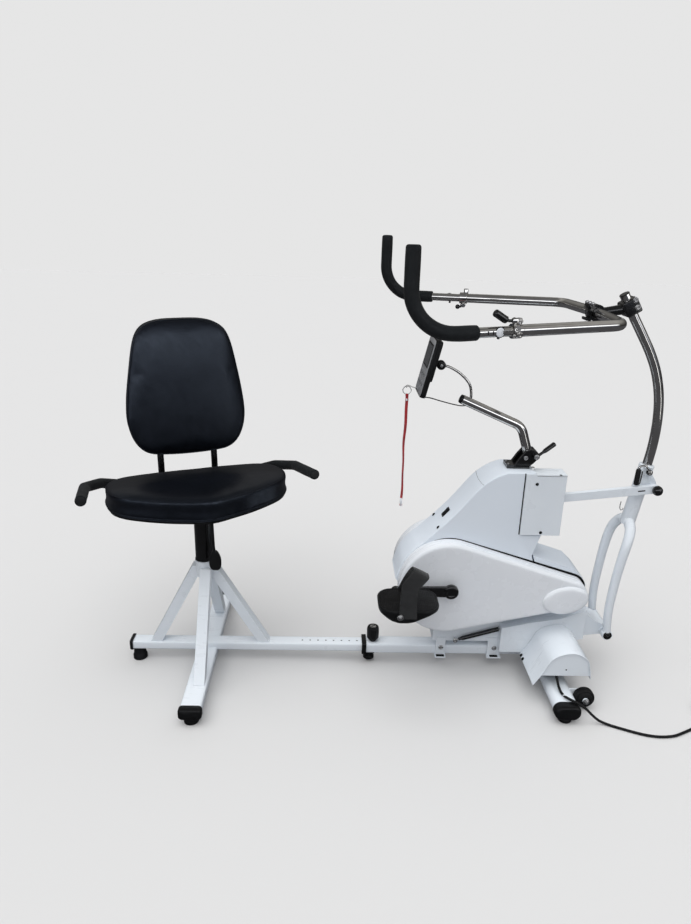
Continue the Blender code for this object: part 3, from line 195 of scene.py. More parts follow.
def smooth(points, steps):
    """A smooth curve through the points."""
    points = [Vector(p) for p in points]
    ends = [points[0] * 2 - points[1]] + points + [points[-1] * 2 - points[-2]]
    path = []
    for a, b, c, d in zip(ends, ends[1:], ends[2:], ends[3:]):
        for i in range(steps):
            t = i / steps
            bend = (2 * a - 5 * b + 4 * c - d) * t ** 2 + (3 * b - a - 3 * c + d) * t ** 3
            path.append((2 * b + (c - a) * t + bend) / 2)
    path.append(points[-1])
    return path


def add_node(tree, kind, inputs=None, **settings):
    made = tree.nodes.new(kind)
    for key, value in settings.items():
        setattr(made, key, value)
    for key, value in (inputs or {}).items():
        if isinstance(value, bpy.types.Node):
            value = value.outputs[0]
        if isinstance(value, bpy.types.NodeSocket):
            tree.links.new(value, made.inputs[key])
        else:
            made.inputs[key].default_value = value
    return made


def new_group(name, inputs, outputs, kind="ShaderNodeTree"):
    tree = bpy.data.node_groups.new(name, kind)
    for way, sockets in (("INPUT", inputs), ("OUTPUT", outputs)):
        for label, socket in sockets:
            tree.interface.new_socket(label, in_out=way, socket_type=socket)
    return tree, tree.nodes.new("NodeGroupInput"), tree.nodes.new("NodeGroupOutput")


def grain_group():
    """A fine grain and a slow waviness, as one normal, over softened edges."""
    tree, entry, leave = new_group("grain", [("Scale", "NodeSocketFloat"), ("Depth", "NodeSocketFloat"),
        ("Wave scale", "NodeSocketFloat"), ("Wave depth", "NodeSocketFloat"), ("Edge", "NodeSocketFloat")],
        [("Normal", "NodeSocketVector")])
    place = add_node(tree, "ShaderNodeTexCoord").outputs["Object"]
    edge = add_node(tree, "ShaderNodeBevel", {"Radius": entry.outputs["Edge"]}, samples=4)
    wave = add_node(tree, "ShaderNodeTexNoise", {"Vector": place, "Scale": entry.outputs["Wave scale"],
        "Detail": 2.0})
    slow = add_node(tree, "ShaderNodeBump", {"Strength": 1.0, "Distance": entry.outputs["Wave depth"], "Height": wave,
        "Normal": edge})
    fine = add_node(tree, "ShaderNodeTexNoise", {"Vector": place, "Scale": entry.outputs["Scale"], "Detail": 3.0})
    bump = add_node(tree, "ShaderNodeBump", {"Strength": 1.0, "Distance": entry.outputs["Depth"], "Height": fine,
        "Normal": slow})
    tree.links.new(bump.outputs[0], leave.inputs["Normal"])
    return tree


def patina_group():
    """Uneven roughness: broad smears and thin wipe marks between a low and a high value."""
    tree, entry, leave = new_group("patina", [("Low", "NodeSocketFloat"), ("High", "NodeSocketFloat"),
        ("Scale", "NodeSocketFloat")], [("Roughness", "NodeSocketFloat")])
    place = add_node(tree, "ShaderNodeTexCoord").outputs["Object"]
    broad = add_node(tree, "ShaderNodeTexNoise", {"Vector": place, "Scale": entry.outputs["Scale"], "Detail": 5.0,
        "Roughness": 0.6})
    stretch = add_node(tree, "ShaderNodeMapping", {"Vector": place, "Scale": (1.0, 9.0, 1.0),
        "Rotation": (0.3, 0.2, 0.5)})
    wipes = add_node(tree, "ShaderNodeTexNoise", {"Vector": stretch, "Scale": 26.0, "Detail": 3.0})
    both = add_node(tree, "ShaderNodeMath", {0: broad, 1: wipes}, operation="ADD")
    ranged = add_node(tree, "ShaderNodeMapRange", {"Value": both, "From Min": 0.75, "From Max": 1.3,
        "To Min": entry.outputs["Low"], "To Max": entry.outputs["High"]})
    tree.links.new(ranged.outputs[0], leave.inputs["Roughness"])
    return tree


def stain_group():
    """A colour that drifts a little, with edges of another colour where wear shows."""
    tree, entry, leave = new_group("stain", [("Colour", "NodeSocketColor"), ("Drift", "NodeSocketColor"),
        ("Edge colour", "NodeSocketColor"), ("Edge amount", "NodeSocketFloat"), ("Scale", "NodeSocketFloat")],
        [("Colour", "NodeSocketColor")])
    place = add_node(tree, "ShaderNodeTexCoord").outputs["Object"]
    cloud = add_node(tree, "ShaderNodeTexNoise", {"Vector": place, "Scale": entry.outputs["Scale"], "Detail": 4.0})
    level = add_node(tree, "ShaderNodeMapRange", {"Value": cloud, "From Min": 0.35, "From Max": 0.65})
    drift = add_node(tree, "ShaderNodeMix", {"Factor": level, 6: entry.outputs["Colour"], 7: entry.outputs["Drift"]},
        data_type="RGBA")
    flat = add_node(tree, "ShaderNodeNewGeometry").outputs["Normal"]
    round_off = add_node(tree, "ShaderNodeBevel", {"Radius": 0.0016}, samples=4)
    bend = add_node(tree, "ShaderNodeVectorMath", {0: flat, 1: round_off}, operation="DOT_PRODUCT")
    sharp = add_node(tree, "ShaderNodeMapRange", {"Value": bend.outputs["Value"], "From Min": 0.99, "From Max": 0.9})
    spots = add_node(tree, "ShaderNodeTexNoise", {"Vector": place, "Scale": 180.0, "Detail": 2.0})
    chip = add_node(tree, "ShaderNodeMapRange", {"Value": spots, "From Min": 0.5, "From Max": 0.62})
    worn = add_node(tree, "ShaderNodeMath", {0: sharp, 1: chip}, operation="MULTIPLY")
    amount = add_node(tree, "ShaderNodeMath", {0: worn, 1: entry.outputs["Edge amount"]}, operation="MULTIPLY")
    edge = add_node(tree, "ShaderNodeMix", {"Factor": amount, 6: drift.outputs[2], 7: entry.outputs["Edge colour"]},
        data_type="RGBA")
    tree.links.new(edge.outputs[2], leave.inputs["Colour"])
    return tree


GRAIN = grain_group()
PATINA = patina_group()
STAIN = stain_group()


def rgba(colour):
    return (*colour, 1.0)


def finish(name, colour, drift, rough, grain, wave=(20.0, 0.0), edge=0.0012, worn=None, worn_amount=0.0, patches=6.0,
        metallic=0.0, coat=0.0, coat_rough=0.1, sheen=0.0, specular=0.5):
    """One surface: colour and its drift, roughness range, grain (per metre, metres) and edge radius."""
    made = bpy.data.materials.new(name)
    made.use_nodes = True
    tree = made.node_tree
    shader = tree.nodes["Principled BSDF"]
    for key, value in (("Metallic", metallic), ("Coat Weight", coat), ("Coat Roughness", coat_rough),
            ("Sheen Weight", sheen), ("Specular IOR Level", specular)):
        shader.inputs[key].default_value = value
    tint = add_node(tree, "ShaderNodeGroup", {"Colour": rgba(colour), "Drift": rgba(drift),
        "Edge colour": rgba(worn or colour), "Edge amount": worn_amount, "Scale": patches}, node_tree=STAIN)
    patina = add_node(tree, "ShaderNodeGroup", {"Low": rough[0], "High": rough[1], "Scale": patches * 2},
        node_tree=PATINA)
    normal = add_node(tree, "ShaderNodeGroup", {"Scale": grain[0], "Depth": grain[1], "Wave scale": wave[0],
        "Wave depth": wave[1], "Edge": edge}, node_tree=GRAIN)
    tree.links.new(tint.outputs[0], shader.inputs["Base Color"])
    tree.links.new(patina.outputs[0], shader.inputs["Roughness"])
    tree.links.new(normal.outputs[0], shader.inputs["Normal"])
    return made


BLACK_PLASTIC = finish("black_plastic_look", (0.0032, 0.0034, 0.0038), (0.0055, 0.0057, 0.0062), (0.34, 0.5),
    (1500.0, 0.00006), edge=0.0008, worn=(0.03, 0.031, 0.033), worn_amount=0.5, patches=14.0, specular=0.35)
BLACK_RUBBER = finish("black_rubber_look", (0.004, 0.004, 0.0044), (0.008, 0.008, 0.0086), (0.5, 0.72),
    (1800.0, 0.00008), edge=0.0008, worn=(0.03, 0.03, 0.03), worn_amount=0.3, patches=25.0, specular=0.35)
STEEL = finish("steel_look", (0.62, 0.62, 0.61), (0.54, 0.54, 0.54), (0.22, 0.38), (900.0, 0.00004), edge=0.0004,
    patches=80.0, metallic=1.0)


def piece(name, solid, body, look, bevel=0.0, sharp=38, stands_for=()):
    """A piece of the dressed bike, riding on a body, perhaps in place of CAD nodes."""
    points, faces = solid
    mesh = bpy.data.meshes.new(name)
    mesh.from_pydata([point + SHIFT for point in points], [], faces)
    work = bmesh.new()
    work.from_mesh(mesh)
    bmesh.ops.remove_doubles(work, verts=work.verts, dist=1e-6)
    bmesh.ops.recalc_face_normals(work, faces=work.faces)
    work.to_mesh(mesh)
    work.free()
    mesh.materials.append(look)
    mesh.shade_smooth()
    mesh.set_sharp_from_angle(angle=radians(sharp))
    made = bpy.data.objects.new(name, mesh)
    bpy.context.collection.objects.link(made)
    if bevel:
        edge = made.modifiers.new("bevel", "BEVEL")
        edge.width = bevel
        edge.segments = 3
        edge.limit_method = "ANGLE"
        edge.angle_limit = radians(sharp)
        edge.harden_normals = True
        edge.use_clamp_overlap = True
    if body:
        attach(made, body)
    if stands_for:
        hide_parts(*stands_for)
    return made


CORD_D = 0.007
CORD_PITCH = 0.0084
COIL = xyz(0.985, -0.232, 0.0038)
COIL_R = 0.0495
COIL_TURNS = 6
COIL_STEPS = 24
GAP = 0.0003
CORD_ROUTE = [(0.549, -0.1553, 0.095), (0.5488, -0.168, 0.0946), (0.5484, -0.18, 0.0912), (0.5484, -0.1905, 0.0838),
    (0.5492, -0.2005, 0.0745), (0.5505, -0.211, 0.066), (0.5525, -0.224, 0.0606), (0.5565, -0.24, 0.0596),
    (0.563, -0.254, 0.0622), (0.573, -0.2655, 0.0628), (0.588, -0.2735, 0.059), (0.606, -0.2775, 0.047),
    (0.624, -0.2785, 0.029), (0.644, -0.2805, 0.0125), (0.668, -0.287, 0.0048), (0.694, -0.299, 0.0038),
    (0.722, -0.312, 0.0038), (0.753, -0.324, 0.0038), (0.788, -0.3305, 0.0038), (0.828, -0.327, 0.0038),
    (0.864, -0.312, 0.0038), (0.898, -0.296, 0.0038), (0.93, -0.285, 0.0038), (0.958, -0.2815, 0.0038),
    (0.9775, -0.2815, 0.0038)]


def coil_points():
    """Loops that spiral in on the floor, climb a layer in half a turn and spiral out again."""
    inward = (COIL_TURNS - 0.5) / 2
    points = [COIL + xyz(-GAP, -COIL_R, 0)]
    for step in range(1, 2 * COIL_TURNS * COIL_STEPS + 1):
        turns = step / COIL_STEPS / 2
        wound = min(turns, inward) - max(0.0, turns - inward - 0.5)
        climb = min(max((turns - inward) / 0.5, 0.0), 1.0)
        radius = COIL_R - CORD_PITCH * wound
        angle = 2 * pi * turns - pi / 2
        points.append(COIL + xyz(radius * cos(angle), radius * sin(angle), CORD_PITCH * climb))
    for reach in (0.015, 0.03, 0.044):
        points.append(COIL + xyz(reach, -COIL_R, CORD_PITCH))
    return points


def wire(name, points, diameter, look):
    """A round cord as a curve along its own line."""
    curve = bpy.data.curves.new(name, "CURVE")
    curve.dimensions = "3D"
    curve.bevel_depth = diameter / 2
    curve.bevel_resolution = 6
    curve.use_fill_caps = True
    spline = curve.splines.new("POLY")
    spline.points.add(len(points) - 1)
    for place, point in zip(spline.points, points):
        place.co = (*(Vector(point) + SHIFT), 1.0)
    curve.materials.append(look)
    made = bpy.data.objects.new(name, curve)
    bpy.context.collection.objects.link(made)
    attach(made, "base")
    return made


def length_of(points):
    return sum((Vector(b) - Vector(a)).length for a, b in zip(points, points[1:]))


def mains_cord():
    route = smooth(CORD_ROUTE, 4) + coil_points()
    cord = wire("mains_cord", route, CORD_D, BLACK_RUBBER)
    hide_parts("power_cord", "cord_coil")
    start = COIL + xyz(0.044 + GAP, -COIL_R, CORD_PITCH)
    ribs = []
    for k in range(5):
        ribs.append(turned([(0.005 + 0.0004 * k, 0), (0.0058 + 0.0004 * k, 0.0008), (0.0058 + 0.0004 * k, 0.0018),
            (0.005 + 0.0004 * k, 0.0026)], start + X_AXIS * (0.0015 + 0.0036 * k), X_AXIS, 24))
    relief = turned([(0.004, 0), (0.0052, 0.018), (0.0075, 0.022)], start, X_AXIS, 24)
    rings = []
    for reach, width, height in ((0.016, 0.014, 0.012), (0.018, 0.018, 0.015), (0.022, 0.026, 0.02),
            (0.03, 0.0275, 0.0208), (0.044, 0.028, 0.021), (0.048, 0.027, 0.0205), (0.05, 0.024, 0.019)):
        rings.append([xyz(start.x + reach, y, z) for y, z in round_rect((start.y, start.z), width, height, 0.005)])
    plug = piece("plug_body", merged(loft(rings), relief, *ribs), "base", BLACK_RUBBER, stands_for=["power_plug"])
    pins = []
    for side in (-1, 1):
        low = start + xyz(0.0495, side * 0.0063 - 0.0008, -0.003)
        pins.append(block(low, low + xyz(0.0175, 0.0016, 0.006)))
    pins = piece("plug_pins", merged(*pins), "base", STEEL, bevel=0.0004)
    middle = COIL + xyz(CORD_PITCH - COIL_R, 0, 0.0045)
    loop = []
    for k in range(40):
        turn = 2 * pi * k / 40
        loop.append(middle + X_AXIS * 0.0132 * copysign(abs(cos(turn)) ** 0.6, cos(turn)) + Z_AXIS
            * (0.0078 * copysign(abs(sin(turn)) ** 0.6, sin(turn)) + 0.0008))
    tie = piece("cord_tie", ring_tube(loop, 0.0011, 8), "base", BLACK_PLASTIC)
    total = length_of(route)
    print(f"mains cord {total:.3f} m")


mains_cord()


# A plain pale floor and backdrop with soft studio light: one broad lamp above, and two tall soft boxes
# that only gloss shows, so that chrome and paint get long streaks.
def stage():
    def plane(name, corners):
        mesh = bpy.data.meshes.new(name)
        mesh.from_pydata(corners, [], [(0, 1, 2, 3)])
        made = bpy.data.objects.new(name, mesh)
        bpy.context.collection.objects.link(made)
        look = bpy.data.materials.new(name + "_look")
        look.use_nodes = True
        mesh.materials.append(look)
        return made, look.node_tree

    floor, tree = plane("floor", [(-9, -7, 0), (9, -7, 0), (9, 14, 0), (-9, 14, 0)])
    shader = tree.nodes["Principled BSDF"]
    shader.inputs["Roughness"].default_value = 0.9
    shader.inputs["Specular IOR Level"].default_value = 0.0
    place = add_node(tree, "ShaderNodeTexCoord").outputs["Object"]
    noise = add_node(tree, "ShaderNodeTexNoise", {"Vector": place, "Scale": 1.5, "Detail": 2.0})
    tone = add_node(tree, "ShaderNodeMix", {"Factor": noise, 6: (0.638, 0.638, 0.638, 1),
        7: (0.643, 0.643, 0.643, 1)}, data_type="RGBA")
    ray = add_node(tree, "ShaderNodeLightPath").outputs
    bounced = add_node(tree, "ShaderNodeMix", {"Factor": ray["Is Glossy Ray"], 6: (0.46, 0.46, 0.47, 1),
        7: (0.07, 0.07, 0.075, 1)}, data_type="RGBA")
    shown = add_node(tree, "ShaderNodeMix", {"Factor": ray["Is Camera Ray"], 6: bounced.outputs[2],
        7: tone.outputs[2]}, data_type="RGBA")
    tree.links.new(shown.outputs[2], shader.inputs["Base Color"])

    for name, x, y, half, level in (("box_right", 2.3, -2.4, 0.16, (2.6, 2.6, 2.6)),
            ("box_left", -3.0, -2.2, 0.45, (0.9, 0.95, 1.05))):
        across = xyz(-y, x, 0).normalized() * half
        low = xyz(x, y, 0.1)
        panel, tree = plane(name, [low - across, low + across, low + across + Z_AXIS * 2.3,
            low - across + Z_AXIS * 2.3])
        tree.nodes.clear()
        glow = add_node(tree, "ShaderNodeEmission", {"Color": (*level, 1)})
        leave = tree.nodes.new("ShaderNodeOutputMaterial")
        tree.links.new(glow.outputs[0], leave.inputs[0])
        panel.visible_camera = panel.visible_diffuse = panel.visible_shadow = False
        panel.visible_transmission = panel.visible_volume_scatter = False

    def sun(name, strength, turn, spread, colour=(1, 1, 1)):
        light = bpy.data.lights.new(name, "SUN")
        light.energy = strength
        light.angle = radians(spread)
        light.color = colour
        made = bpy.data.objects.new(name, light)
        made.rotation_euler = [radians(t) for t in turn]
        made.visible_glossy = False
        bpy.context.collection.objects.link(made)

    sun("key", KEY, (KEY_TILT, -14, 0), 70)

    world = bpy.data.worlds.new("room")
    world.use_nodes = True
    bpy.context.scene.world = world
    tree = world.node_tree
    tree.nodes.clear()
    way = add_node(tree, "ShaderNodeTexCoord").outputs["Generated"]
    parts = add_node(tree, "ShaderNodeSeparateXYZ", {0: way})

    def ramp(levels):
        made = add_node(tree, "ShaderNodeValToRGB", {0: parts.outputs["Z"]})
        stops = made.color_ramp.elements
        for k, (position, colour) in enumerate(levels):
            stop = stops[k] if k < 2 else stops.new(position)
            stop.position = position
            stop.color = (*colour, 1)
        return made.outputs[0]

    even = ramp([(0.0, (0.22, 0.22, 0.23)), (1.0, (0.95, 0.95, 0.95)), (0.45, (0.4, 0.4, 0.41)),
        (0.7, (0.85, 0.85, 0.85))])
    behind = ramp([(0.0, (0.04, 0.04, 0.04)), (1.0, (0.16, 0.16, 0.16)), (0.25, (0.12, 0.117, 0.113)),
        (0.5, (0.3, 0.292, 0.28)), (0.75, (0.42, 0.41, 0.395)), (0.86, (0.12, 0.12, 0.12))])
    front = ramp([(0.0, (0.1, 0.105, 0.12)), (1.0, (0.16, 0.16, 0.17)), (0.14, (0.3, 0.33, 0.42)),
        (0.23, (3.0, 3.05, 3.15)), (0.32, (3.0, 3.05, 3.15)), (0.4, (0.3, 0.31, 0.35)), (0.7, (0.19, 0.19, 0.2))])
    facing = add_node(tree, "ShaderNodeMapRange", {"Value": parts.outputs["Y"], "From Min": -0.15, "From Max": -0.55})
    gloss = add_node(tree, "ShaderNodeMix", {"Factor": facing, 6: behind, 7: front}, data_type="RGBA")
    ray = add_node(tree, "ShaderNodeLightPath").outputs
    lit = add_node(tree, "ShaderNodeMix", {"Factor": ray["Is Glossy Ray"], 6: even, 7: gloss.outputs[2]},
        data_type="RGBA")
    colour = add_node(tree, "ShaderNodeMix", {"Factor": ray["Is Camera Ray"], 6: lit.outputs[2],
        7: (0.79, 0.79, 0.79, 1)}, data_type="RGBA")
    back = add_node(tree, "ShaderNodeBackground", {"Color": colour.outputs[2], "Strength": 1.0})
    leave = tree.nodes.new("ShaderNodeOutputWorld")
    tree.links.new(back.outputs[0], leave.inputs[0])
    bpy.context.scene.view_settings.view_transform = "Standard"


KEY = 1.78
KEY_TILT = 19
stage()


# Main frame: steel rails, one sliding in the other, each welded to a cross tube and painted white.
# Moulded black caps with feet close the tubes' ends, and a black collar lines the outer rail's mouth.
# Socket screws clamp the drive frame to the outer rail.
SIDES = ((-1, "near"), (1, "far"))
Y_AXIS = xyz(0, 1, 0)
WHITE_PAINT = finish("white_paint_look", (0.78, 0.83, 0.88), (0.755, 0.81, 0.865), (0.26, 0.36), (420.0, 0.00006),
    wave=(30.0, 0.0002), worn=(0.55, 0.57, 0.6), worn_amount=0.35, coat=0.25, coat_rough=0.12)
SHADOW_GAP = finish("shadow_gap_look", (0.004, 0.004, 0.005), (0.008, 0.008, 0.009), (0.7, 0.9), (600.0, 0.00005),
    edge=0.0002, patches=30.0, specular=0.1)
GEOMETRY = [("Geometry", "NodeSocketGeometry")]


def smoothing_group():
    """Welds a CAD node's corners and shades its round faces smooth, without moving a point."""
    tree, entry, leave = new_group("smooth_round_faces", GEOMETRY, GEOMETRY, "GeometryNodeTree")
    drop = add_node(tree, "GeometryNodeRemoveAttribute", {"Geometry": entry, "Name": "custom_normal"})
    weld = add_node(tree, "GeometryNodeMergeByDistance", {"Geometry": drop, "Distance": 0.00002})
    faces = add_node(tree, "GeometryNodeSetShadeSmooth", {"Geometry": weld, "Shade Smooth": True})
    angle = add_node(tree, "GeometryNodeInputMeshEdgeAngle")
    steep = add_node(tree, "FunctionNodeCompare", {0: angle, 1: radians(38)}, data_type="FLOAT",
        operation="GREATER_THAN")
    edges = add_node(tree, "GeometryNodeSetShadeSmooth", {"Geometry": faces, "Selection": steep,
        "Shade Smooth": False}, domain="EDGE")
    tree.links.new(edges.outputs[0], leave.inputs[0])
    return tree


SMOOTHING = smoothing_group()


def dress(look, *names):
    """CAD nodes that stay: their own mesh, with smooth round faces and a better material."""
    for name in names:
        shown = frame["nodes"][name]
        for slot in shown.material_slots:
            slot.material = look
        shown.modifiers.new("smooth_round_faces", "NODES").node_group = SMOOTHING


def screw(base, axis, radius=0.004, height=0.0025, kind="pan"):
    """A screw or bolt head on a face: pan, socket or hex, with its washer."""
    axis = Vector(axis).normalized()
    washer = turned([(radius * 1.25, 0), (radius * 1.25, height * 0.22)], base, axis, 24)
    if kind == "hex":
        head = turned([(radius * 1.05, 0), (radius * 1.05, height * 0.85), (radius * 0.92, height)], base, axis, 6)
        end = turned([(radius * 0.5, height * 0.9), (radius * 0.5, height * 1.35), (radius * 0.38, height * 1.5)],
            base, axis, 16)
        return merged(washer, head, end)
    profile = [(radius, height * 0.2), (radius, height * 0.55), (radius * 0.85, height * 0.85),
        (radius * 0.55, height), (radius * 0.5, height), (radius * 0.46, height * 0.45), (0.0002, height * 0.42)]
    if kind == "socket":
        profile = [(radius, 0), (radius, height * 0.88), (radius * 0.9, height), (radius * 0.58, height),
            (radius * 0.55, height * 0.35), (0.0002, height * 0.35)]
    return merged(washer, turned(profile, base, axis, 24))


RAIL_Z = 0.053
PIN_X = 0.049
PIN_PITCH = 0.0235
SEAT_X = -0.444
STABILIZER_X = 0.558


def base():
    dress(WHITE_PAINT, "base_frame", "seat_base_frame", "seat_tower", "drive_frame")
    dress(BLACK_PLASTIC, "rail_mouth_collar")
    for side, name in SIDES:
        rings = []
        for reach, scale in ((0.2623, 0.99), (0.263, 1.0), (0.2755, 1.0), (0.28, 0.99), (0.2835, 0.96), (0.286, 0.9),
                (0.2875, 0.8), (0.288, 0.66)):
            outline = round_rect((STABILIZER_X, 0.0365), 0.072 * scale, 0.043 * scale, 0.0205 * scale, 8)
            rings.append([xyz(x, side * reach, z) for x, z in outline])
        foot = turned([(0.0172, 0), (0.018, 0.0008), (0.018, 0.01), (0.0165, 0.012), (0.016, 0.02)],
            (STABILIZER_X, side * 0.262, 0), Z_AXIS)
        piece(f"front_cap_{name}_moulding", merged(loft(rings), foot), "base", BLACK_PLASTIC,
            stands_for=[f"front_cap_{name}"])
        rings = []
        for reach, width, height in ((0.2853, 0.061, 0.033), (0.2862, 0.062, 0.034), (0.2985, 0.062, 0.034),
                (0.302, 0.0605, 0.0325), (0.3045, 0.0565, 0.0295), (0.306, 0.05, 0.025)):
            outline = round_rect((SEAT_X, 0.036), width, height, 0.01)
            rings.append([xyz(x, side * reach, z) for x, z in outline])
        foot = turned([(0.0185, 0), (0.0195, 0.001), (0.0195, 0.012), (0.018, 0.0165), (0.018, 0.0215)],
            (SEAT_X, side * 0.281, 0), Z_AXIS)
        piece(f"rear_cap_{name}_moulding", merged(loft(rings), foot), "carriage", BLACK_PLASTIC,
            stands_for=[f"rear_cap_{name}"])
    end = -0.665
    plate = loft([[xyz(x, y, z) for y, z in round_rect((0, RAIL_Z), 0.046 * k, 0.032 * k, 0.006)]
        for x, k in ((end - GAP, 1.0), (end - 0.006, 1.0), (end - 0.008, 0.97), (end - 0.009, 0.9))])
    foot = turned([(0.0192, 0), (0.0205, 0.001), (0.0205, 0.012), (0.0185, 0.017), (0.0178, 0.022), (0.0178, 0.04)],
        (end + 0.014, 0, 0), Z_AXIS)
    piece("rail_end_moulding", merged(plate, foot), "carriage", BLACK_PLASTIC, stands_for=["rail_end_cap"])
    holes = [turned([(0.003, 0), (0.003, 0.0004)], (PIN_X - PIN_PITCH * n, 0, 0.0635), Z_AXIS, 20) for n in range(10)]
    piece("rail_hole_shadows", merged(*holes), "carriage", SHADOW_GAP)
    for side, name in SIDES:
        heads = [screw(xyz(x, side * 0.03, z), Y_AXIS * side, 0.0056, 0.0042, "socket")
            for x, z in ((0.2511, 0.066), (0.411, 0.065))]
        piece(f"clamp_bolts_{name}", merged(*heads), "base", STEEL)
        slots = [block((x - 0.012, min(side * 0.0402, side * 0.0302), 0.0402),
            (x + 0.012, max(side * 0.0402, side * 0.0302), 0.041)) for x in (0.25, 0.41)]
        piece(f"clamp_slots_{name}", merged(*slots), "base", SHADOW_GAP)


base()


# Transport wheels: one black rubber wheel at each side of the front cross tube, for moving the bike.
# A steel bolt holds each on its stub axle.
WHEEL = xyz(0.622, 0.0, 0.036)


def wheels():
    for side, name in SIDES:
        start = xyz(WHEEL.x, side * 0.2015, WHEEL.z)
        profile = [(0.0051, 0), (0.0185, 0), (0.02, 0.0015), (0.0225, 0.0022), (0.0258, 0.0024), (0.0273, 0.0038),
            (0.028, 0.0062), (0.028, 0.019), (0.0272, 0.0214), (0.0255, 0.0228), (0.0235, 0.0229), (0.0225, 0.0222),
            (0.0215, 0.0222), (0.02, 0.024), (0.018, 0.025), (0.0105, 0.025), (0.01, 0.0238), (0.0051, 0.0238)]
        piece(f"transport_tyre_{name}", turned(profile, start, Y_AXIS * side, 64, closed=True), f"wheel_{name}",
            BLACK_RUBBER, stands_for=[f"transport_wheel_{name}"])
        piece(f"wheel_bolt_{name}", screw(xyz(WHEEL.x, side * 0.2345, WHEEL.z), Y_AXIS * side, 0.0072, 0.0052, "hex"),
            "base", STEEL, bevel=0.0004)


wheels()


# Pull knob: fluted black plastic on a steel pin, which fixes the inner rail at one of its holes.
# A slotted steel screw sits in its top.
def knob():
    profile = [(0.01, 0.0775), (0.0165, 0.0778), (0.0178, 0.08), (0.018, 0.084), (0.018, 0.106), (0.0176, 0.111),
        (0.0162, 0.115), (0.013, 0.1168), (0.0092, 0.1172), (0.0092, 0.116)]
    rings = []
    for radius, height in profile:
        flute = 0.055 if 0.08 < height < 0.112 else 0.0
        ring = []
        for i in range(120):
            turn = 2 * pi * i / 120
            reach = radius * (1 - flute * (0.5 + 0.5 * cos(20 * turn)) ** 2)
            ring.append(xyz(PIN_X + reach * cos(turn), reach * sin(turn), height))
        rings.append(ring)
    shank = turned([(0.0038, 0.0662), (0.0038, 0.069), (0.0105, 0.069), (0.011, 0.07), (0.011, 0.0775),
        (0.009, 0.0776)], (PIN_X, 0, 0), Z_AXIS)
    piece("pull_knob_grip", merged(loft(rings), shank), "rail_pin", BLACK_PLASTIC, stands_for=["rail_pin_knob"])
    disc = turned([(0.0088, 0), (0.0088, 0.0014), (0.008, 0.0018)], (PIN_X, 0, 0.1156), Z_AXIS)
    piece("pull_knob_screw", disc, "rail_pin", STEEL)
    slot = block((-0.0074, -0.0011, 0.117), (0.0074, 0.0011, 0.1177))
    turn = Matrix.Rotation(radians(35), 3, "Z")
    slot = ([turn @ p + xyz(PIN_X, 0, 0) for p in slot[0]], slot[1])
    piece("pull_knob_slot", slot, "rail_pin", SHADOW_GAP)


knob()


# Upper casing: a white moulded shell over the drive frame, with two dark screws in its front panel.
# The panel slopes up to a rounded shoulder, where a joint runs across.
def belt_outline(first, first_r, second, second_r, steps=20):
    """The outline of a belt round two wheels, the first one the larger, both in the XZ plane."""
    run = Vector((second.x - first.x, second.z - first.z))
    heading = degrees(atan2(run.y, run.x))
    spread = degrees(acos((first_r - second_r) / run.length))
    back = arc((first.x, first.z), first_r, heading + spread, heading + 360 - spread, steps)
    tail = arc((second.x, second.z), second_r, heading - spread, heading + spread, steps // 2)
    return back + tail


def inset(outline, distance):
    """The outline moved inwards, corner by corner. The outline may turn either way."""
    area = 0.0
    for i, (x, y) in enumerate(outline):
        nx, ny = outline[(i + 1) % len(outline)]
        area += x * ny - nx * y
    turn = 1 if area > 0 else -1
    moved = []
    for i, point in enumerate(outline):
        here = Vector(point)
        before = (here - Vector(outline[i - 1])).normalized()
        after = (Vector(outline[(i + 1) % len(outline)]) - here).normalized()
        normal = Vector((-before.y - after.y, before.x + after.x)) * turn
        normal.normalize()
        half = max(0.5, normal.dot(Vector((-before.y, before.x)) * turn))
        moved.append(tuple(here + normal * distance / half))
    return moved


WHITE_SHELL = finish("white_shell_look", (0.73, 0.79, 0.86), (0.705, 0.765, 0.835), (0.32, 0.42), (900.0, 0.00004),
    wave=(7.0, 0.0003), edge=0.0016, worn=(0.58, 0.61, 0.65), worn_amount=0.3)
BLACK_METAL = finish("black_metal_look", (0.002, 0.0021, 0.0023), (0.004, 0.0041, 0.0045), (0.14, 0.28),
    (500.0, 0.00003), wave=(60.0, 0.0002), edge=0.0008, worn=(0.05, 0.05, 0.05), worn_amount=0.6, patches=20.0,
    coat=0.4, coat_rough=0.08)
MOTOR = xyz(0.594, 0.0, 0.285)
GUARD_WHEEL = xyz(0.245, 0.0, 0.3)
GUARD_R = 0.137
GUARD_TAIL_R = 0.044
CASING_HALF = 0.058


def rounded_shell(outline, low, high, edge, steps=4):
    """An outline pushed along Y with its two rims rounded over."""
    rings = []
    turns = [pi / 2 * k / steps for k in range(steps + 1)]
    for turn in turns:
        ring = inset(outline, edge * (1 - sin(turn)))
        rings.append([xyz(x, low + edge * (1 - cos(turn)), z) for x, z in ring])
    for turn in reversed(turns):
        ring = inset(outline, edge * (1 - sin(turn)))
        rings.append([xyz(x, high - edge * (1 - cos(turn)), z) for x, z in ring])
    return loft(rings)


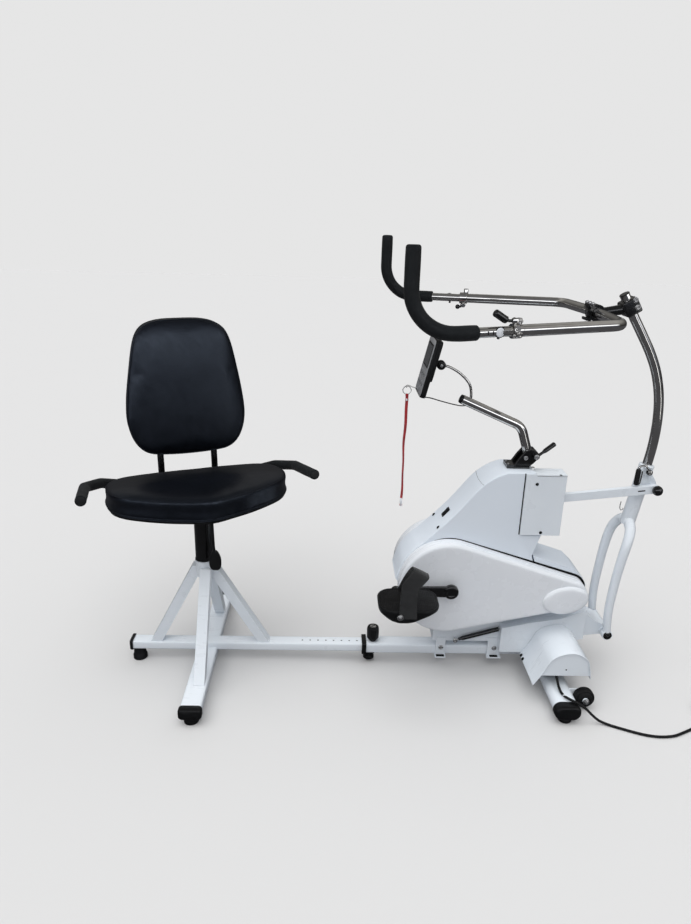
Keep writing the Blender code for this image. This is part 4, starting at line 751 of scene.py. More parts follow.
def casing():
    front = smooth([(0.103, 0, 0.316), (0.1085, 0, 0.335), (0.121, 0, 0.366), (0.148, 0, 0.401), (0.181, 0, 0.4305),
        (0.25, 0, 0.503), (0.306, 0, 0.574), (0.3215, 0, 0.5915), (0.339, 0, 0.607), (0.362, 0, 0.6215),
        (0.39, 0, 0.633)], 4)
    front = [(p.x, p.z) for p in front]
    rear = [(0.466, 0.633), (0.447, 0.451), (0.499, 0.449), (0.481, 0.387), (0.49, 0.3586)]
    tail = belt_outline(GUARD_WHEEL, GUARD_R - 0.006, MOTOR, GUARD_TAIL_R - 0.006, 60)
    follow = [p for p in reversed(tail) if p[0] > 0.5 or p[1] < 0.29]
    shell = rounded_shell([(0.101, 0.312)] + front + rear + follow, -CASING_HALF, CASING_HALF, 0.0032)
    piece("casing_shell", shell, "base", WHITE_SHELL, sharp=50, stands_for=["upper_casing"])

    joint = []
    for y in (-0.0583, -0.04, 0.0, 0.04, 0.0583):
        lean = 0.004 * (1 - (y / 0.0583) ** 2)
        low = xyz(0.3265 - lean, y, 0.597 - lean)
        joint.append([low, low + xyz(0.0004, 0, 0.0004), low + xyz(0.0008, 0, 0.0), low + xyz(0.0004, 0, -0.0004)])
    piece("casing_joint", loft(joint), "base", SHADOW_GAP)
    seam = block((0.435, -0.0586, 0.4535), (0.4377, -0.0578, 0.6325))
    piece("casing_box_gap", seam, "base", SHADOW_GAP)

    out = xyz(-0.7785, 0, 0.6277)
    heads = [screw(xyz(0.2135, side * 0.0445, 0.4645) + out * 0.0004, out, 0.0042, 0.002) for side in (-1, 1)]
    piece("casing_screws", merged(*heads), "base", BLACK_METAL)


casing()


# Guards: one white teardrop moulding on each side, over the belt drive. A raised oval dome covers the
# motor's end, and a dark strip past the rim is painted shade in the gap behind it.
def mirrored(solid):
    points, faces = solid
    return [xyz(p.x, -p.y, p.z) for p in points], faces


WHITE_GUARD = finish("white_guard_look", (0.79, 0.82, 0.86), (0.765, 0.8, 0.845), (0.22, 0.34), (700.0, 0.00003),
    wave=(6.0, 0.0003), edge=0.001, worn=(0.6, 0.62, 0.65), worn_amount=0.3, coat=0.3, coat_rough=0.15)


def pan():
    """A guard's teardrop pan, with a rolled rim and a face that is slightly crowned."""
    outer = belt_outline(GUARD_WHEEL, GUARD_R, MOTOR, GUARD_TAIL_R, 96)
    layers = [(0.0025, 0.06), (0.0025, 0.0585), (0.0, 0.0585), (0.0, 0.09), (0.0003, 0.0925), (0.0012, 0.095),
        (0.0026, 0.097), (0.0046, 0.0985), (0.0072, 0.0995), (0.0105, 0.1), (0.015, 0.1002), (0.024, 0.1005),
        (0.034, 0.1006)]
    return loft([[xyz(x, -y, z) for x, z in inset(outer, depth_in)] for depth_in, y in layers])


def dome():
    tilt = radians(9.5)
    rings = []
    for y, scale in ((0.0985, 1.03), (0.1003, 1.012), (0.1022, 1.0), (0.1043, 0.985), (0.1062, 0.955),
            (0.1078, 0.905), (0.1088, 0.83), (0.1094, 0.72), (0.1098, 0.5), (0.11, 0.2)):
        ring = []
        for i in range(72):
            turn = 2 * pi * i / 72
            a = 0.064 * scale * cos(turn)
            b = 0.042 * scale * sin(turn)
            ring.append(xyz(0.577 + a * cos(tilt) - b * sin(tilt), -y, 0.272 + a * sin(tilt) + b * cos(tilt)))
        rings.append(ring)
    return loft(rings)


def rim_shade_strip():
    """A dark strip past the guard's rim, painted shade in the gap, wider towards the tail."""
    inner = belt_outline(GUARD_WHEEL, GUARD_R - 0.01, MOTOR, GUARD_TAIL_R - 0.01, 96)
    outer = belt_outline(GUARD_WHEEL, GUARD_R, MOTOR, GUARD_TAIL_R, 96)
    rings = [[], [], [], []]
    for (ix, iz), (ox, oz) in zip(inner, outer):
        out = Vector((ox - ix, oz - iz)).normalized()
        wide = 0.0022 * min(1.0, max(0.0, (ox - 0.2) / 0.05)) - 0.002 * (ox < 0.2)
        if oz > 0.3:
            wide += 0.0045 * min(1.0, max(0.0, (ox - 0.5) / 0.1))
        elif ox > 0.36:
            wide += 0.0035 * min(1.0, (ox - 0.36) / 0.06)
        x, z = ox + out.x * wide, oz + out.y * wide
        for ring, (a, b, y) in zip(rings, ((ix, iz, -0.0581), (x, z, -0.0581), (x, z, -0.0592), (ix, iz, -0.0592))):
            ring.append(xyz(a, y, b))
    return loft(rings, closed=True)


def guards():
    for name, turn in (("near", lambda solid: solid), ("far", mirrored)):
        piece(f"guard_pan_{name}", turn(pan()), "base", WHITE_GUARD, sharp=60, stands_for=[f"guard_{name}"])
        piece(f"guard_dome_{name}", turn(dome()), "base", WHITE_GUARD, sharp=60)
        # A dark strip past each guard's rim: painted shade in the gap between the guard and the casing.
        piece(f"guard_rim_shade_{name}", turn(rim_shade_strip()), "base", SHADOW_GAP)


guards()


# Tension rod: black turned steel, low on the near side below the guard.
# A steel hook and screw hold its lower end, and a pin its upper one.
def path_rings(path, radii, sides):
    """Round sections along a path, carried on without twist."""
    if not isinstance(radii, (list, tuple)):
        radii = [radii] * len(path)
    along = (path[1] - path[0]).normalized()
    across = along.cross(Y_AXIS if abs(along.y) < 0.9 else Z_AXIS).normalized()
    rings = []
    for k, point in enumerate(path):
        along = (path[min(k + 1, len(path) - 1)] - path[max(k - 1, 0)]).normalized()
        across = (across - along * across.dot(along)).normalized()
        up = along.cross(across)
        turns = [2 * pi * i / sides for i in range(sides)]
        rings.append([point + (across * cos(t) + up * sin(t)) * radii[k] for t in turns])
    return rings


def tube(path, radius, sides=28, start=0.0, end=0.0, steps=5):
    """A tube along a path. Its two ends may be rounded over by a radius of their own."""
    path = [Vector(p) for p in path]
    radii = list(radius) if isinstance(radius, (list, tuple)) else [radius] * len(path)
    for turn_round, rounding in ((False, end), (True, start)):
        if turn_round:
            path.reverse()
            radii.reverse()
        if rounding:
            tip = path.pop()
            full = radii.pop()
            along = (tip - path[-1]).normalized()
            for k in range(steps + 1):
                turn = pi / 2 * k / steps
                path.append(tip - along * rounding * (1 - sin(turn)))
                radii.append(full - rounding * (1 - cos(turn)))
        if turn_round:
            path.reverse()
            radii.reverse()
    return loft(path_rings(path, radii, sides))


def rounded(points, radii, steps=10):
    """A path whose corners are arcs, of one radius or of one radius each."""
    points = [Vector(p) for p in points]
    if not isinstance(radii, (list, tuple)):
        radii = [radii] * (len(points) - 2)
    path = [points[0]]
    for radius, before, corner, after in zip(radii, points, points[1:], points[2:]):
        into = (before - corner).normalized()
        out = (after - corner).normalized()
        half = into.angle(out) / 2
        back = min(radius / tan(half), 0.88 * min((before - corner).length, (after - corner).length))
        reach = back * tan(half)
        centre = corner + (into + out).normalized() * (reach / sin(half))
        start = corner + into * back - centre
        sweep = pi - 2 * half
        axis = start.cross(corner + out * back - centre).normalized()
        across = axis.cross(start)
        for i in range(steps + 1):
            turn = sweep * i / steps
            path.append(centre + start * cos(turn) + across * sin(turn))
    path.append(points[-1])
    return path


def rod():
    start = xyz(0.3005, -0.0345, 0.0975)
    end = xyz(0.4165, -0.0345, 0.134)
    run = (end - start).normalized()
    body = tube([start, start + run * 0.008, start + run * 0.012, end], [0.0045, 0.0045, 0.0066, 0.0066], 24,
        start=0.001, end=0.0008)
    piece("tension_rod", body, "base", BLACK_METAL)
    hook = tube(rounded([start + run * 0.004, start - run * 0.01, start - run * 0.0125 + xyz(0, 0.014, 0.004)], 0.004,
        4), 0.0028, 14, end=0.001)
    eye = screw(start - run * 0.01 + xyz(0, -0.002, 0), -Y_AXIS, 0.0058, 0.004, "socket")
    pin = tube([end + run * 0.002 + xyz(0, -0.001, 0), end + xyz(0.004, 0.012, 0.002)], 0.003, 14)
    piece("tension_rod_hook", merged(hook, eye, pin), "base", STEEL)


rod()


# Tail hood and control box: a white moulded cover on the casing's tail, and behind its top a box of
# white painted sheet with a flat lid. Small screws hold both, and the link bar enters the box by a slot.
CHROME = finish("chrome_look", (0.7, 0.69, 0.67), (0.62, 0.605, 0.58), (0.04, 0.11), (240.0, 0.00001),
    wave=(14.0, 0.00006), edge=0.0006, patches=30.0, metallic=1.0)


def boxes():
    dress(WHITE_SHELL, "rear_hood")
    dress(WHITE_PAINT, "control_box")
    heads = [screw(xyz(x, -0.0623, z), -Y_AXIS, 0.0036, 0.0018) for x, z in ((0.469, 0.604), (0.495, 0.4613))]
    heads.append(screw(xyz(0.53, -0.062, 0.6312), Z_AXIS, 0.003, 0.0012))
    piece("box_screws", merged(*heads), "base", BLACK_METAL)
    lid = block((0.4675, -0.0626, 0.6268), (0.5484, -0.01, 0.6274))
    piece("box_lid_line", lid, "base", SHADOW_GAP)
    sleeve = block((0.5478, -0.048, 0.533), (0.5486, -0.02, 0.573))
    piece("box_link_slot", sleeve, "base", SHADOW_GAP)
    stub = turned([(0.0046, 0), (0.0046, 0.01), (0.004, 0.0106)], (0.462, -0.03, 0.631), Z_AXIS)
    piece("box_stub", stub, "base", CHROME)


boxes()


# Cover of the mains unit: one white painted sheet, bent over a round top, with an end plate and two
# socket screws. The unit is black plastic, and a small white clip beside it holds the cord.
def sheet_cover():
    points = [(0.481, 0, 0.063), (0.501, 0, 0.096), (0.514, 0, 0.122), (0.524, 0, 0.1405), (0.538, 0, 0.1535),
        (0.556, 0, 0.1615), (0.572, 0, 0.165), (0.588, 0, 0.165), (0.602, 0, 0.161), (0.614, 0, 0.154),
        (0.624, 0, 0.145), (0.63, 0, 0.135), (0.6365, 0, 0.108), (0.641, 0, 0.083)]
    arch = [(p.x, p.z) for p in smooth(points, 5)]
    inner = inset(arch, 0.0022)
    inner[0] = (arch[0][0] + 0.0026, arch[0][1])
    inner[-1] = (arch[-1][0] - 0.0022, arch[-1][1])
    sheet = prism(arch + list(reversed(inner)), "Y", -0.2, -0.0556)
    piece("cover_sheet", sheet, "base", WHITE_PAINT, bevel=0.0006, sharp=45, stands_for=["power_unit_cover"])
    rim = inset(arch, 0.0023)
    plate = [(x, max(z, 0.092)) for x, z in rim[6:-4]] + [(0.6385, 0.092)]
    plate[0] = (0.5003, 0.092)
    piece("cover_end_plate", prism(plate, "Y", -0.1965, -0.194), "base", WHITE_PAINT)
    piece("cover_plate_hole", turned([(0.0022, 0), (0.0022, 0.0004)], (0.5698, -0.1965, 0.1113), -Y_AXIS), "base",
        SHADOW_GAP)
    slope = xyz(-0.855, 0, 0.518)
    latch = []
    for y in (-0.068, -0.086):
        spot = xyz(0.4835, y, 0.0672) + slope * 0.0002
        latch.append(screw(spot, slope, 0.004, 0.003, "socket"))
    piece("cover_latch", merged(*latch), "base", BLACK_METAL)
    dress(BLACK_PLASTIC, "power_unit")
    clip_at = xyz(0.5575, -0.243, 0.0596)
    loop = [clip_at + xyz(cos(t) * 0.0046 * 0.8, cos(t) * 0.0046 * -0.6, sin(t) * 0.0046)
        for t in [2 * pi * k / 24 for k in range(24)]]
    foot = block((0.552, -0.25, 0.0549), (0.56, -0.24, 0.0562))
    piece("cord_clip", merged(ring_tube(loop, 0.0014, 8), foot), "base", WHITE_GUARD)


sheet_cover()


# Crank arms: black forged steel on one axle through the casing. A wide boss sits on the axle, and a
# steel spindle at the other end carries the pedal and ends in a nut.
CRANK = xyz(0.25, 0.0, 0.305)
ARM_LENGTH = 0.152


def cranks():
    for side, name in SIDES:
        end = CRANK + X_AXIS * (ARM_LENGTH * side)
        rings = []
        for y, shrink in ((0.1132, 0.0012), (0.1144, 0.0), (0.1236, 0.0), (0.125, 0.0016)):
            outline = inset(belt_outline(CRANK, 0.0155, end, 0.0118, 40), shrink)
            rings.append([xyz(x, side * y, z) for x, z in outline])
        boss = turned([(0.019, 0), (0.0205, 0.0012), (0.0205, 0.0095), (0.0198, 0.012), (0.0178, 0.0136),
            (0.012, 0.0142), (0.011, 0.0134), (0.0002, 0.0132)], CRANK + Y_AXIS * side * 0.1135, Y_AXIS * side, 48)
        hub = turned([(0.0118, 0), (0.0138, 0.0012), (0.0138, 0.012), (0.012, 0.0134)], end + Y_AXIS * side * 0.1125,
            Y_AXIS * side, 40)
        spindle = turned([(0.0054, 0), (0.0054, 0.136)], end + Y_AXIS * side * 0.12, Y_AXIS * side, 24)
        shaft = turned([(0.01, 0), (0.01, 0.1127)], CRANK, Y_AXIS * side, 24)
        piece(f"crank_forging_{name}", merged(loft(rings), boss, hub, spindle, shaft), "crank", BLACK_METAL,
            stands_for=[f"crank_arm_{name}"])
        cap = screw(xyz(CRANK.x + side * 0.0665, side * 0.125, CRANK.z + 0.001), Y_AXIS * side, 0.0066, 0.003)
        nut = screw(end + Y_AXIS * side * 0.2535, Y_AXIS * side, 0.0068, 0.003, "hex")
        piece(f"crank_bolt_{name}", cap, "crank", STEEL)
        piece(f"spindle_nut_{name}", nut, "crank", STEEL)


cranks()


# Pedals: deep black mouldings with a ribbed tread, free on their spindles. A wide woven strap arches
# over each foot, and its loose end is doubled back and stitched.
KEY_GREY = finish("key_grey_look", (0.16, 0.165, 0.175), (0.2, 0.205, 0.215), (0.4, 0.52), (1500.0, 0.00004),
    edge=0.0005, patches=40.0)


def woven(name, colour, dark, pitch):
    """Webbing: ribs across the band and yarns along it, at a real pitch in metres."""
    made = finish(name, colour, dark, (0.62, 0.78), (2500.0, 0.00008), edge=0.0002, patches=60.0, sheen=0.25)
    tree = made.node_tree
    shader = tree.nodes["Principled BSDF"]
    place = add_node(tree, "ShaderNodeTexCoord").outputs["Object"]
    ribs = add_node(tree, "ShaderNodeTexWave", {"Vector": place, "Scale": 0.05 / pitch * 6.28, "Distortion": 0.4},
        bands_direction="Z")
    yarns = add_node(tree, "ShaderNodeTexWave", {"Vector": place, "Scale": 0.05 / pitch * 5.0, "Distortion": 0.6},
        bands_direction="DIAGONAL")
    both = add_node(tree, "ShaderNodeMath", {0: ribs.outputs[1], 1: yarns.outputs[1]}, operation="ADD")
    bump = add_node(tree, "ShaderNodeBump", {"Strength": 0.8, "Distance": 0.0004, "Height": both})
    tree.links.new(bump.outputs[0], shader.inputs["Normal"])
    return made


BLACK_STRAP = woven("black_strap_look", (0.0035, 0.004, 0.0046), (0.007, 0.0078, 0.0088), 0.002)


def tread():
    """Pedal tread: fine ribs along the foot, with cross cuts."""
    made = finish("pedal_tread_look", (0.003, 0.003, 0.0035), (0.006, 0.006, 0.0066), (0.45, 0.65), (1500.0, 0.0001),
        edge=0.0008, worn=(0.03, 0.03, 0.03), worn_amount=0.6, patches=25.0, specular=0.3)
    tree = made.node_tree
    shader = tree.nodes["Principled BSDF"]
    place = add_node(tree, "ShaderNodeTexCoord").outputs["Object"]
    ribs = add_node(tree, "ShaderNodeTexWave", {"Vector": place, "Scale": 63.0, "Distortion": 0.0},
        bands_direction="Y")
    cuts = add_node(tree, "ShaderNodeTexWave", {"Vector": place, "Scale": 63.0, "Distortion": 0.0},
        bands_direction="X")
    low = add_node(tree, "ShaderNodeMath", {0: ribs.outputs[1], 1: cuts.outputs[1]}, operation="MINIMUM")
    bump = add_node(tree, "ShaderNodeBump", {"Strength": 0.9, "Distance": 0.0008, "Height": low})
    tree.links.new(bump.outputs[0], shader.inputs["Normal"])
    return made


TREAD = tread()


def pedals():
    for side, name in SIDES:
        axle = CRANK + X_AXIS * (ARM_LENGTH * side)
        middle = axle.x + 0.025
        rings = []
        for z, long, wide, corner in ((-0.029, 0.062, 0.084, 0.026), (-0.0282, 0.07, 0.09, 0.03),
                (-0.0235, 0.09, 0.101, 0.036), (-0.018, 0.106, 0.108, 0.04), (-0.011, 0.125, 0.113, 0.042),
                (-0.004, 0.143, 0.1165, 0.042), (0.002, 0.153, 0.1182, 0.042), (0.006, 0.158, 0.1195, 0.042),
                (0.01, 0.16, 0.12, 0.042), (0.014, 0.16, 0.12, 0.042), (0.0156, 0.1585, 0.1185, 0.0415),
                (0.016, 0.156, 0.116, 0.0405), (0.0152, 0.153, 0.113, 0.039), (0.0144, 0.151, 0.111, 0.038)):
            shift = -0.012 * (1 - min(1.0, (z + 0.029) / 0.035) ** 1.5)
            outline = round_rect((middle + shift, side * 0.19), long, wide, corner, 12)
            rings.append([xyz(x, y, axle.z + z) for x, y in outline])
        piece(f"pedal_body_{name}", loft(rings), f"pedal_{name}", BLACK_PLASTIC, sharp=50,
            stands_for=[f"pedal_{name}"])
        pad = []
        for z, shrink in ((0.014, 0.0), (0.0153, 0.0), (0.0157, 0.0012)):
            outline = round_rect((middle, side * 0.19), 0.15 - shrink, 0.11 - shrink, 0.037, 12)
            pad.append([xyz(x, y, axle.z + z) for x, y in outline])
        piece(f"pedal_pad_{name}", loft(pad), f"pedal_{name}", TREAD)
        tube_y = sorted((side * 0.128, side * 0.252))
        barrel = turned([(0.01, 0), (0.0112, 0.001), (0.0112, tube_y[1] - tube_y[0] - 0.001),
            (0.01, tube_y[1] - tube_y[0])], (axle.x, tube_y[0], axle.z - 0.006), Y_AXIS, 32)
        piece(f"pedal_barrel_{name}", barrel, f"pedal_{name}", BLACK_PLASTIC)
        strap(side, name, axle, middle)


def strap(side, name, axle, middle):
    """A wide band over the foot: its arch, and its loose end doubled back over the outer half."""
    arch = smooth([(0.1281, 0, -0.004), (0.1284, 0, 0.02), (0.138, 0, 0.048), (0.156, 0, 0.074), (0.176, 0, 0.094),
        (0.194, 0, 0.1022), (0.2135, 0, 0.099), (0.2335, 0, 0.0855), (0.2485, 0, 0.055), (0.2523, 0, 0.02),
        (0.2521, 0, -0.004)], 5)

    edges = smooth([(0.0, -0.028, 0.018), (0.3, -0.0275, 0.016), (0.6, -0.026, 0.0165), (0.8, -0.021, 0.021),
        (0.92, -0.006, 0.036), (1.0, 0.008, 0.05)], 5)

    def across(share, z, inside=False):
        """A point of the band's width, from its left edge to its right one, and how far it is lifted."""
        rise = min(1.0, max(0.0, z) / 0.102)
        k = max(i for i in range(len(edges) - 1) if i == 0 or edges[i].x <= rise)
        part = min(1.0, (rise - edges[k].x) / (edges[k + 1].x - edges[k].x))
        left, right = (edges[k] + (edges[k + 1] - edges[k]) * part).yz
        if inside:
            left = max(left, -0.028 + 0.036 * rise ** 0.8)
        return middle + left + (right - left) * share, (0.5 - share) * 0.021 * rise

    def band(path, thick, trim):
        rings = []
        for k, p in enumerate(path):
            along = (path[min(k + 1, len(path) - 1)] - path[max(k - 1, 0)]).normalized()
            out = xyz(-along.z, 0, along.x)
            sag = 0.0006 * sin(p.z * 160)
            ring = []
            for share, b in ((0, 0.0004), (0.025, 0), (0.5, -sag), (0.975, 0), (1, 0.0004), (1, thick - 0.0004),
                    (0.975, thick), (0.5, thick - sag), (0.025, thick), (0, thick - 0.0004)):
                q = p + out * (b - 0.0002)
                x, lift = across(trim + (1 - 2 * trim) * share, q.z, q.x < 0.193)
                ring.append(xyz(x, side * q.x, axle.z + q.z + lift))
            rings.append(ring)
        return loft(rings)

    piece(f"strap_band_{name}", band(arch, 0.0018, 0.0), f"pedal_{name}", BLACK_STRAP, sharp=60,
        stands_for=[f"pedal_strap_{name}"])
    lap = [p + xyz(0.0019 * (p.x - 0.19) / 0.062, 0, 0.0012) for p in arch[24:44]]
    piece(f"strap_lap_{name}", band(lap, 0.0017, 0.02), f"pedal_{name}", BLACK_STRAP, sharp=60)
    stitches = []
    for k in range(11):
        x, lift = across(0.1 + 0.074 * k, 0.1003)
        stitches.append(block((x, side * 0.213 - 0.0004, axle.z + 0.1003 + lift),
            (x + 0.0022, side * 0.213 + 0.0004, axle.z + 0.101 + lift)))
    piece(f"strap_stitches_{name}", merged(*stitches), f"pedal_{name}", KEY_GREY)


pedals()


# Inside the casing: the crank's black pulley, a rubber belt, and the steel motor with its small pulley.
# No outer view shows them.
def drive_insides():
    dress(BLACK_PLASTIC, "crank_pulley")
    dress(BLACK_RUBBER, "drive_belt")
    dress(STEEL, "drive_motor", "motor_pulley")


drive_insides()


# Console post: a bent chrome tube on a black cast bracket with two ears. A thin chrome gooseneck
# rises from near its end to the knob behind the console.
def corners_2d(points, radii, steps=6):
    """A flat closed outline whose corners are arcs. A radius of 0 keeps the corner."""
    outline = []
    count = len(points)
    for i, radius in enumerate(radii):
        if not radius:
            outline.append(tuple(points[i]))
            continue
        before, corner, after = (Vector((*points[j % count], 0)) for j in (i - 1, i, i + 1))
        reach = min((before - corner).length, (after - corner).length)
        a = corner + (before - corner).normalized() * reach
        b = corner + (after - corner).normalized() * reach
        outline += [(p.x, p.y) for p in rounded([a, corner, b], radius, steps)[1:-1]]
    return outline


POST_PIN = xyz(0.468, 0.0, 0.671)
CONSOLE_PIVOT = xyz(0.197, 0.0, 0.91)


def post():
    base_plate = block((0.393, -0.0225, 0.6336), (0.455, 0.0225, 0.644))
    corners = [(0.41, 0.638), (0.452, 0.638), (0.464, 0.648), (0.476, 0.662), (0.479, 0.673), (0.471, 0.683),
        (0.456, 0.688), (0.442, 0.685), (0.426, 0.664)]
    ear = corners_2d(corners, [0, 0, 0.006, 0.006, 0.006, 0.006, 0.008, 0.008, 0.01], 5)
    ears = [prism(ear, "Y", -0.0225, -0.0145), prism(ear, "Y", 0.0145, 0.0225)]
    piece("bracket_casting", merged(base_plate, *ears), "base", BLACK_METAL, bevel=0.0012,
        stands_for=["post_bracket"])
    bolts = [screw((0.442, side * 0.0225, 0.664), Y_AXIS * side, 0.005, 0.0036, "socket") for side in (-1, 1)]
    bolts += [screw((0.3975, y, 0.644), Z_AXIS, 0.0032, 0.0022, "socket") for y in (-0.013, 0.013)]
    piece("bracket_bolts", merged(*bolts), "base", STEEL)

    path = rounded([(0.453, 0, 0.668), (0.4265, 0, 0.747), (0.26, 0, 0.819)], 0.045, 14)
    piece("post_tube", tube(path, 0.0125, 40, end=0.0006), "console_post", CHROME, stands_for=["console_post"])
    knuckle = belt_outline(xyz(0.4545, 0, 0.668), 0.0135, POST_PIN, 0.0105, 40)
    piece("post_knuckle", prism(knuckle, "Y", -0.0125, 0.0125), "console_post", BLACK_METAL, bevel=0.0012)
    run = (path[-1] - path[-2]).normalized()
    plug = tube([path[-1] - run * 0.001, path[-1] + run * 0.006], 0.0119, 32, end=0.002)
    piece("post_plug", plug, "console_post", BLACK_PLASTIC)
    neck = tube(smooth([(0.2815, 0, 0.811), (0.2825, 0, 0.835), (0.275, 0, 0.862), (0.25, 0, 0.888),
        (0.222, 0, 0.904), (0.2, 0, 0.91)], 8), 0.0035, 20)
    piece("post_neck", neck, "console_post", CHROME)
    profile = [(0.0072, 0), (0.008, 0.0006), (0.008, 0.0034), (0.0108, 0.004), (0.012, 0.0052), (0.012, 0.0188),
        (0.0108, 0.02), (0.008, 0.0206), (0.008, 0.0234), (0.0072, 0.024)]
    piece("post_knob", turned(profile, CONSOLE_PIVOT - Y_AXIS * 0.012, Y_AXIS, 48), "console_post", BLACK_PLASTIC)
    screws = [screw(CONSOLE_PIVOT + Y_AXIS * side * 0.012, Y_AXIS * side, 0.0034, 0.0012) for side in (-1, 1)]
    piece("post_knob_screws", merged(*screws), "console_post", STEEL)


post()


# Post lever: a black handle with a thicker grip, on a steel pin through the bracket's ears.
# Turned, it clamps the post at its tilt.
def spaced(path, step):
    """A path with points about a step apart, so that its rings stay even."""
    out = [Vector(path[0])]
    for before, after in zip(path, path[1:]):
        count = max(1, round((Vector(after) - Vector(before)).length / step))
        out += [Vector(before).lerp(Vector(after), k / count) for k in range(1, count + 1)]
    return out


def post_handle():
    pin = turned([(0.004, 0), (0.004, 0.0475), (0.0085, 0.0476), (0.0085, 0.0505), (0.0078, 0.0515)],
        POST_PIN - Y_AXIS * 0.0235, Y_AXIS, 24)
    knuckle = turned([(0.008, 0), (0.0085, 0.0006), (0.0085, 0.01), (0.0078, 0.011)], POST_PIN - Y_AXIS * 0.0228,
        -Y_AXIS, 28)
    side = -Y_AXIS * 0.0295
    handle = tube(spaced([POST_PIN + side, xyz(0.484, -0.027, 0.682), xyz(0.489, -0.025, 0.685),
        xyz(0.519, -0.014, 0.704)], 0.004), 0.004, 20, end=0.002)
    grip = tube([xyz(0.4865, -0.026, 0.6835), xyz(0.491, -0.0243, 0.6865), xyz(0.519, -0.014, 0.704)],
        [0.0046, 0.006, 0.0066], 24, end=0.003)
    piece("post_lever_handle", merged(knuckle, handle, grip), "post_lever", BLACK_METAL, stands_for=["post_lever"])
    head = screw(POST_PIN - Y_AXIS * 0.0338, -Y_AXIS, 0.0058, 0.0026, "socket")
    piece("post_lever_pin", merged(pin, head), "post_lever", STEEL)


post_handle()


# Console: a flat black moulded case with a silver face, a window, two rows of keys and one more key.
# Four small screws close its back, and a boss fixes it to the gooseneck's knob.
SILVER_PLASTIC = finish("silver_plastic_look", (0.52, 0.53, 0.55), (0.6, 0.61, 0.63), (0.28, 0.42), (1600.0, 0.00005),
    edge=0.0006, patches=60.0, metallic=0.6)
DARK_GLASS = finish("dark_glass_look", (0.012, 0.015, 0.014), (0.018, 0.022, 0.02), (0.06, 0.12), (300.0, 0.000005),
    edge=0.0004, patches=10.0, coat=1.0, coat_rough=0.03)


def row_of(name, solid, body, look, count, step):
    made = piece(name, solid, body, look)
    tree, entry, leave = new_group(name, GEOMETRY, GEOMETRY, "GeometryNodeTree")
    line = add_node(tree, "GeometryNodeMeshLine", {"Count": count, "Offset": tuple(step)})
    laid = add_node(tree, "GeometryNodeInstanceOnPoints", {"Points": line, "Instance": entry})
    real = add_node(tree, "GeometryNodeRealizeInstances", {0: laid})
    tree.links.new(real.outputs[0], leave.inputs[0])
    made.modifiers.new("row", "NODES").node_group = tree
    return made


CONSOLE = xyz(0.16, 0.0, 0.9075)
CONSOLE_UP = xyz(sin(radians(13)), 0, cos(radians(13)))
CONSOLE_OUT = xyz(CONSOLE_UP.z, 0, -CONSOLE_UP.x)


def console_at(a, b, depth):
    return CONSOLE + CONSOLE_UP * a + Y_AXIS * b + CONSOLE_OUT * depth


def console_slab(centre, size, radius, layers, steps=6):
    """A plate on the console: layers of depth and inset of its rounded outline."""
    outline = round_rect(centre, *size, radius, steps)
    return loft([[console_at(a, b, depth) for a, b in inset(outline, shrink)] for depth, shrink in layers])


def console():
    case = console_slab((0, 0), (0.155, 0.11), 0.012, ((-0.003, 0.0018), (-0.0024, 0.0006), (-0.0014, 0.0),
        (0.0085, 0.0), (0.01, 0.0005), (0.0108, 0.0018)))
    back = console_slab((0.0215, 0), (0.107, 0.104), 0.01, ((0.01, 0.0), (0.014, 0.0), (0.0152, 0.0006),
        (0.0158, 0.0016), (0.016, 0.003)))
    boss = turned([(0.0084, 0), (0.009, 0.0006), (0.009, 0.012)], CONSOLE_PIVOT - CONSOLE_OUT * 0.0123, -CONSOLE_OUT,
        32)
    piece("console_shell", merged(case, back, boss), "console", BLACK_PLASTIC, sharp=45, stands_for=["console_case"])
    ring = console_slab((0, 0), (0.1556, 0.1106), 0.0122, ((0.0034, 0.0), (0.0042, 0.0)))
    piece("console_joint", ring, "console", SHADOW_GAP)
    face = console_slab((0, 0), (0.147, 0.102), 0.009, ((-0.002, 0.0), (-0.004, 0.0), (-0.0045, 0.0008)))
    piece("console_face", face, "console", SILVER_PLASTIC, sharp=45)
    frame_ring = console_slab((0.03, 0), (0.062, 0.086), 0.005, ((-0.004, 0.0), (-0.005, 0.0), (-0.0054, 0.0012)))
    piece("console_window_frame", frame_ring, "console", BLACK_PLASTIC, sharp=45)
    window = console_slab((0.03, 0), (0.054, 0.078), 0.003, ((-0.005, 0.0), (-0.0056, 0.0003)))
    piece("console_window", window, "console", DARK_GLASS)
    for k, level in enumerate((-0.018, -0.042)):
        key = turned([(0.0066, 0), (0.0066, 0.0012), (0.0058, 0.0019), (0.003, 0.0022), (0.0003, 0.0022)],
            console_at(level, -0.033, -0.0044), -CONSOLE_OUT, 28)
        row_of(f"console_keys_{k}", key, "console", KEY_GREY, 4, Y_AXIS * 0.022)
    stop = turned([(0.008, 0), (0.008, 0.0016), (0.0066, 0.0026), (0.0003, 0.0028)], console_at(-0.063, 0.0, -0.0044),
        -CONSOLE_OUT, 32)
    piece("console_stop_key", stop, "console", KEY_GREY)
    trim = console_slab((-0.0735, 0), (0.003, 0.09), 0.0014, ((-0.004, 0.0), (-0.0052, 0.0004)))
    piece("console_trim", trim, "console", CHROME)
    heads = [screw(console_at(a, b, 0.0158), CONSOLE_OUT, 0.0026, 0.001) for a in (-0.02, 0.065)
        for b in (-0.043, 0.043)]
    piece("console_screws", merged(*heads), "console", STEEL)


console()
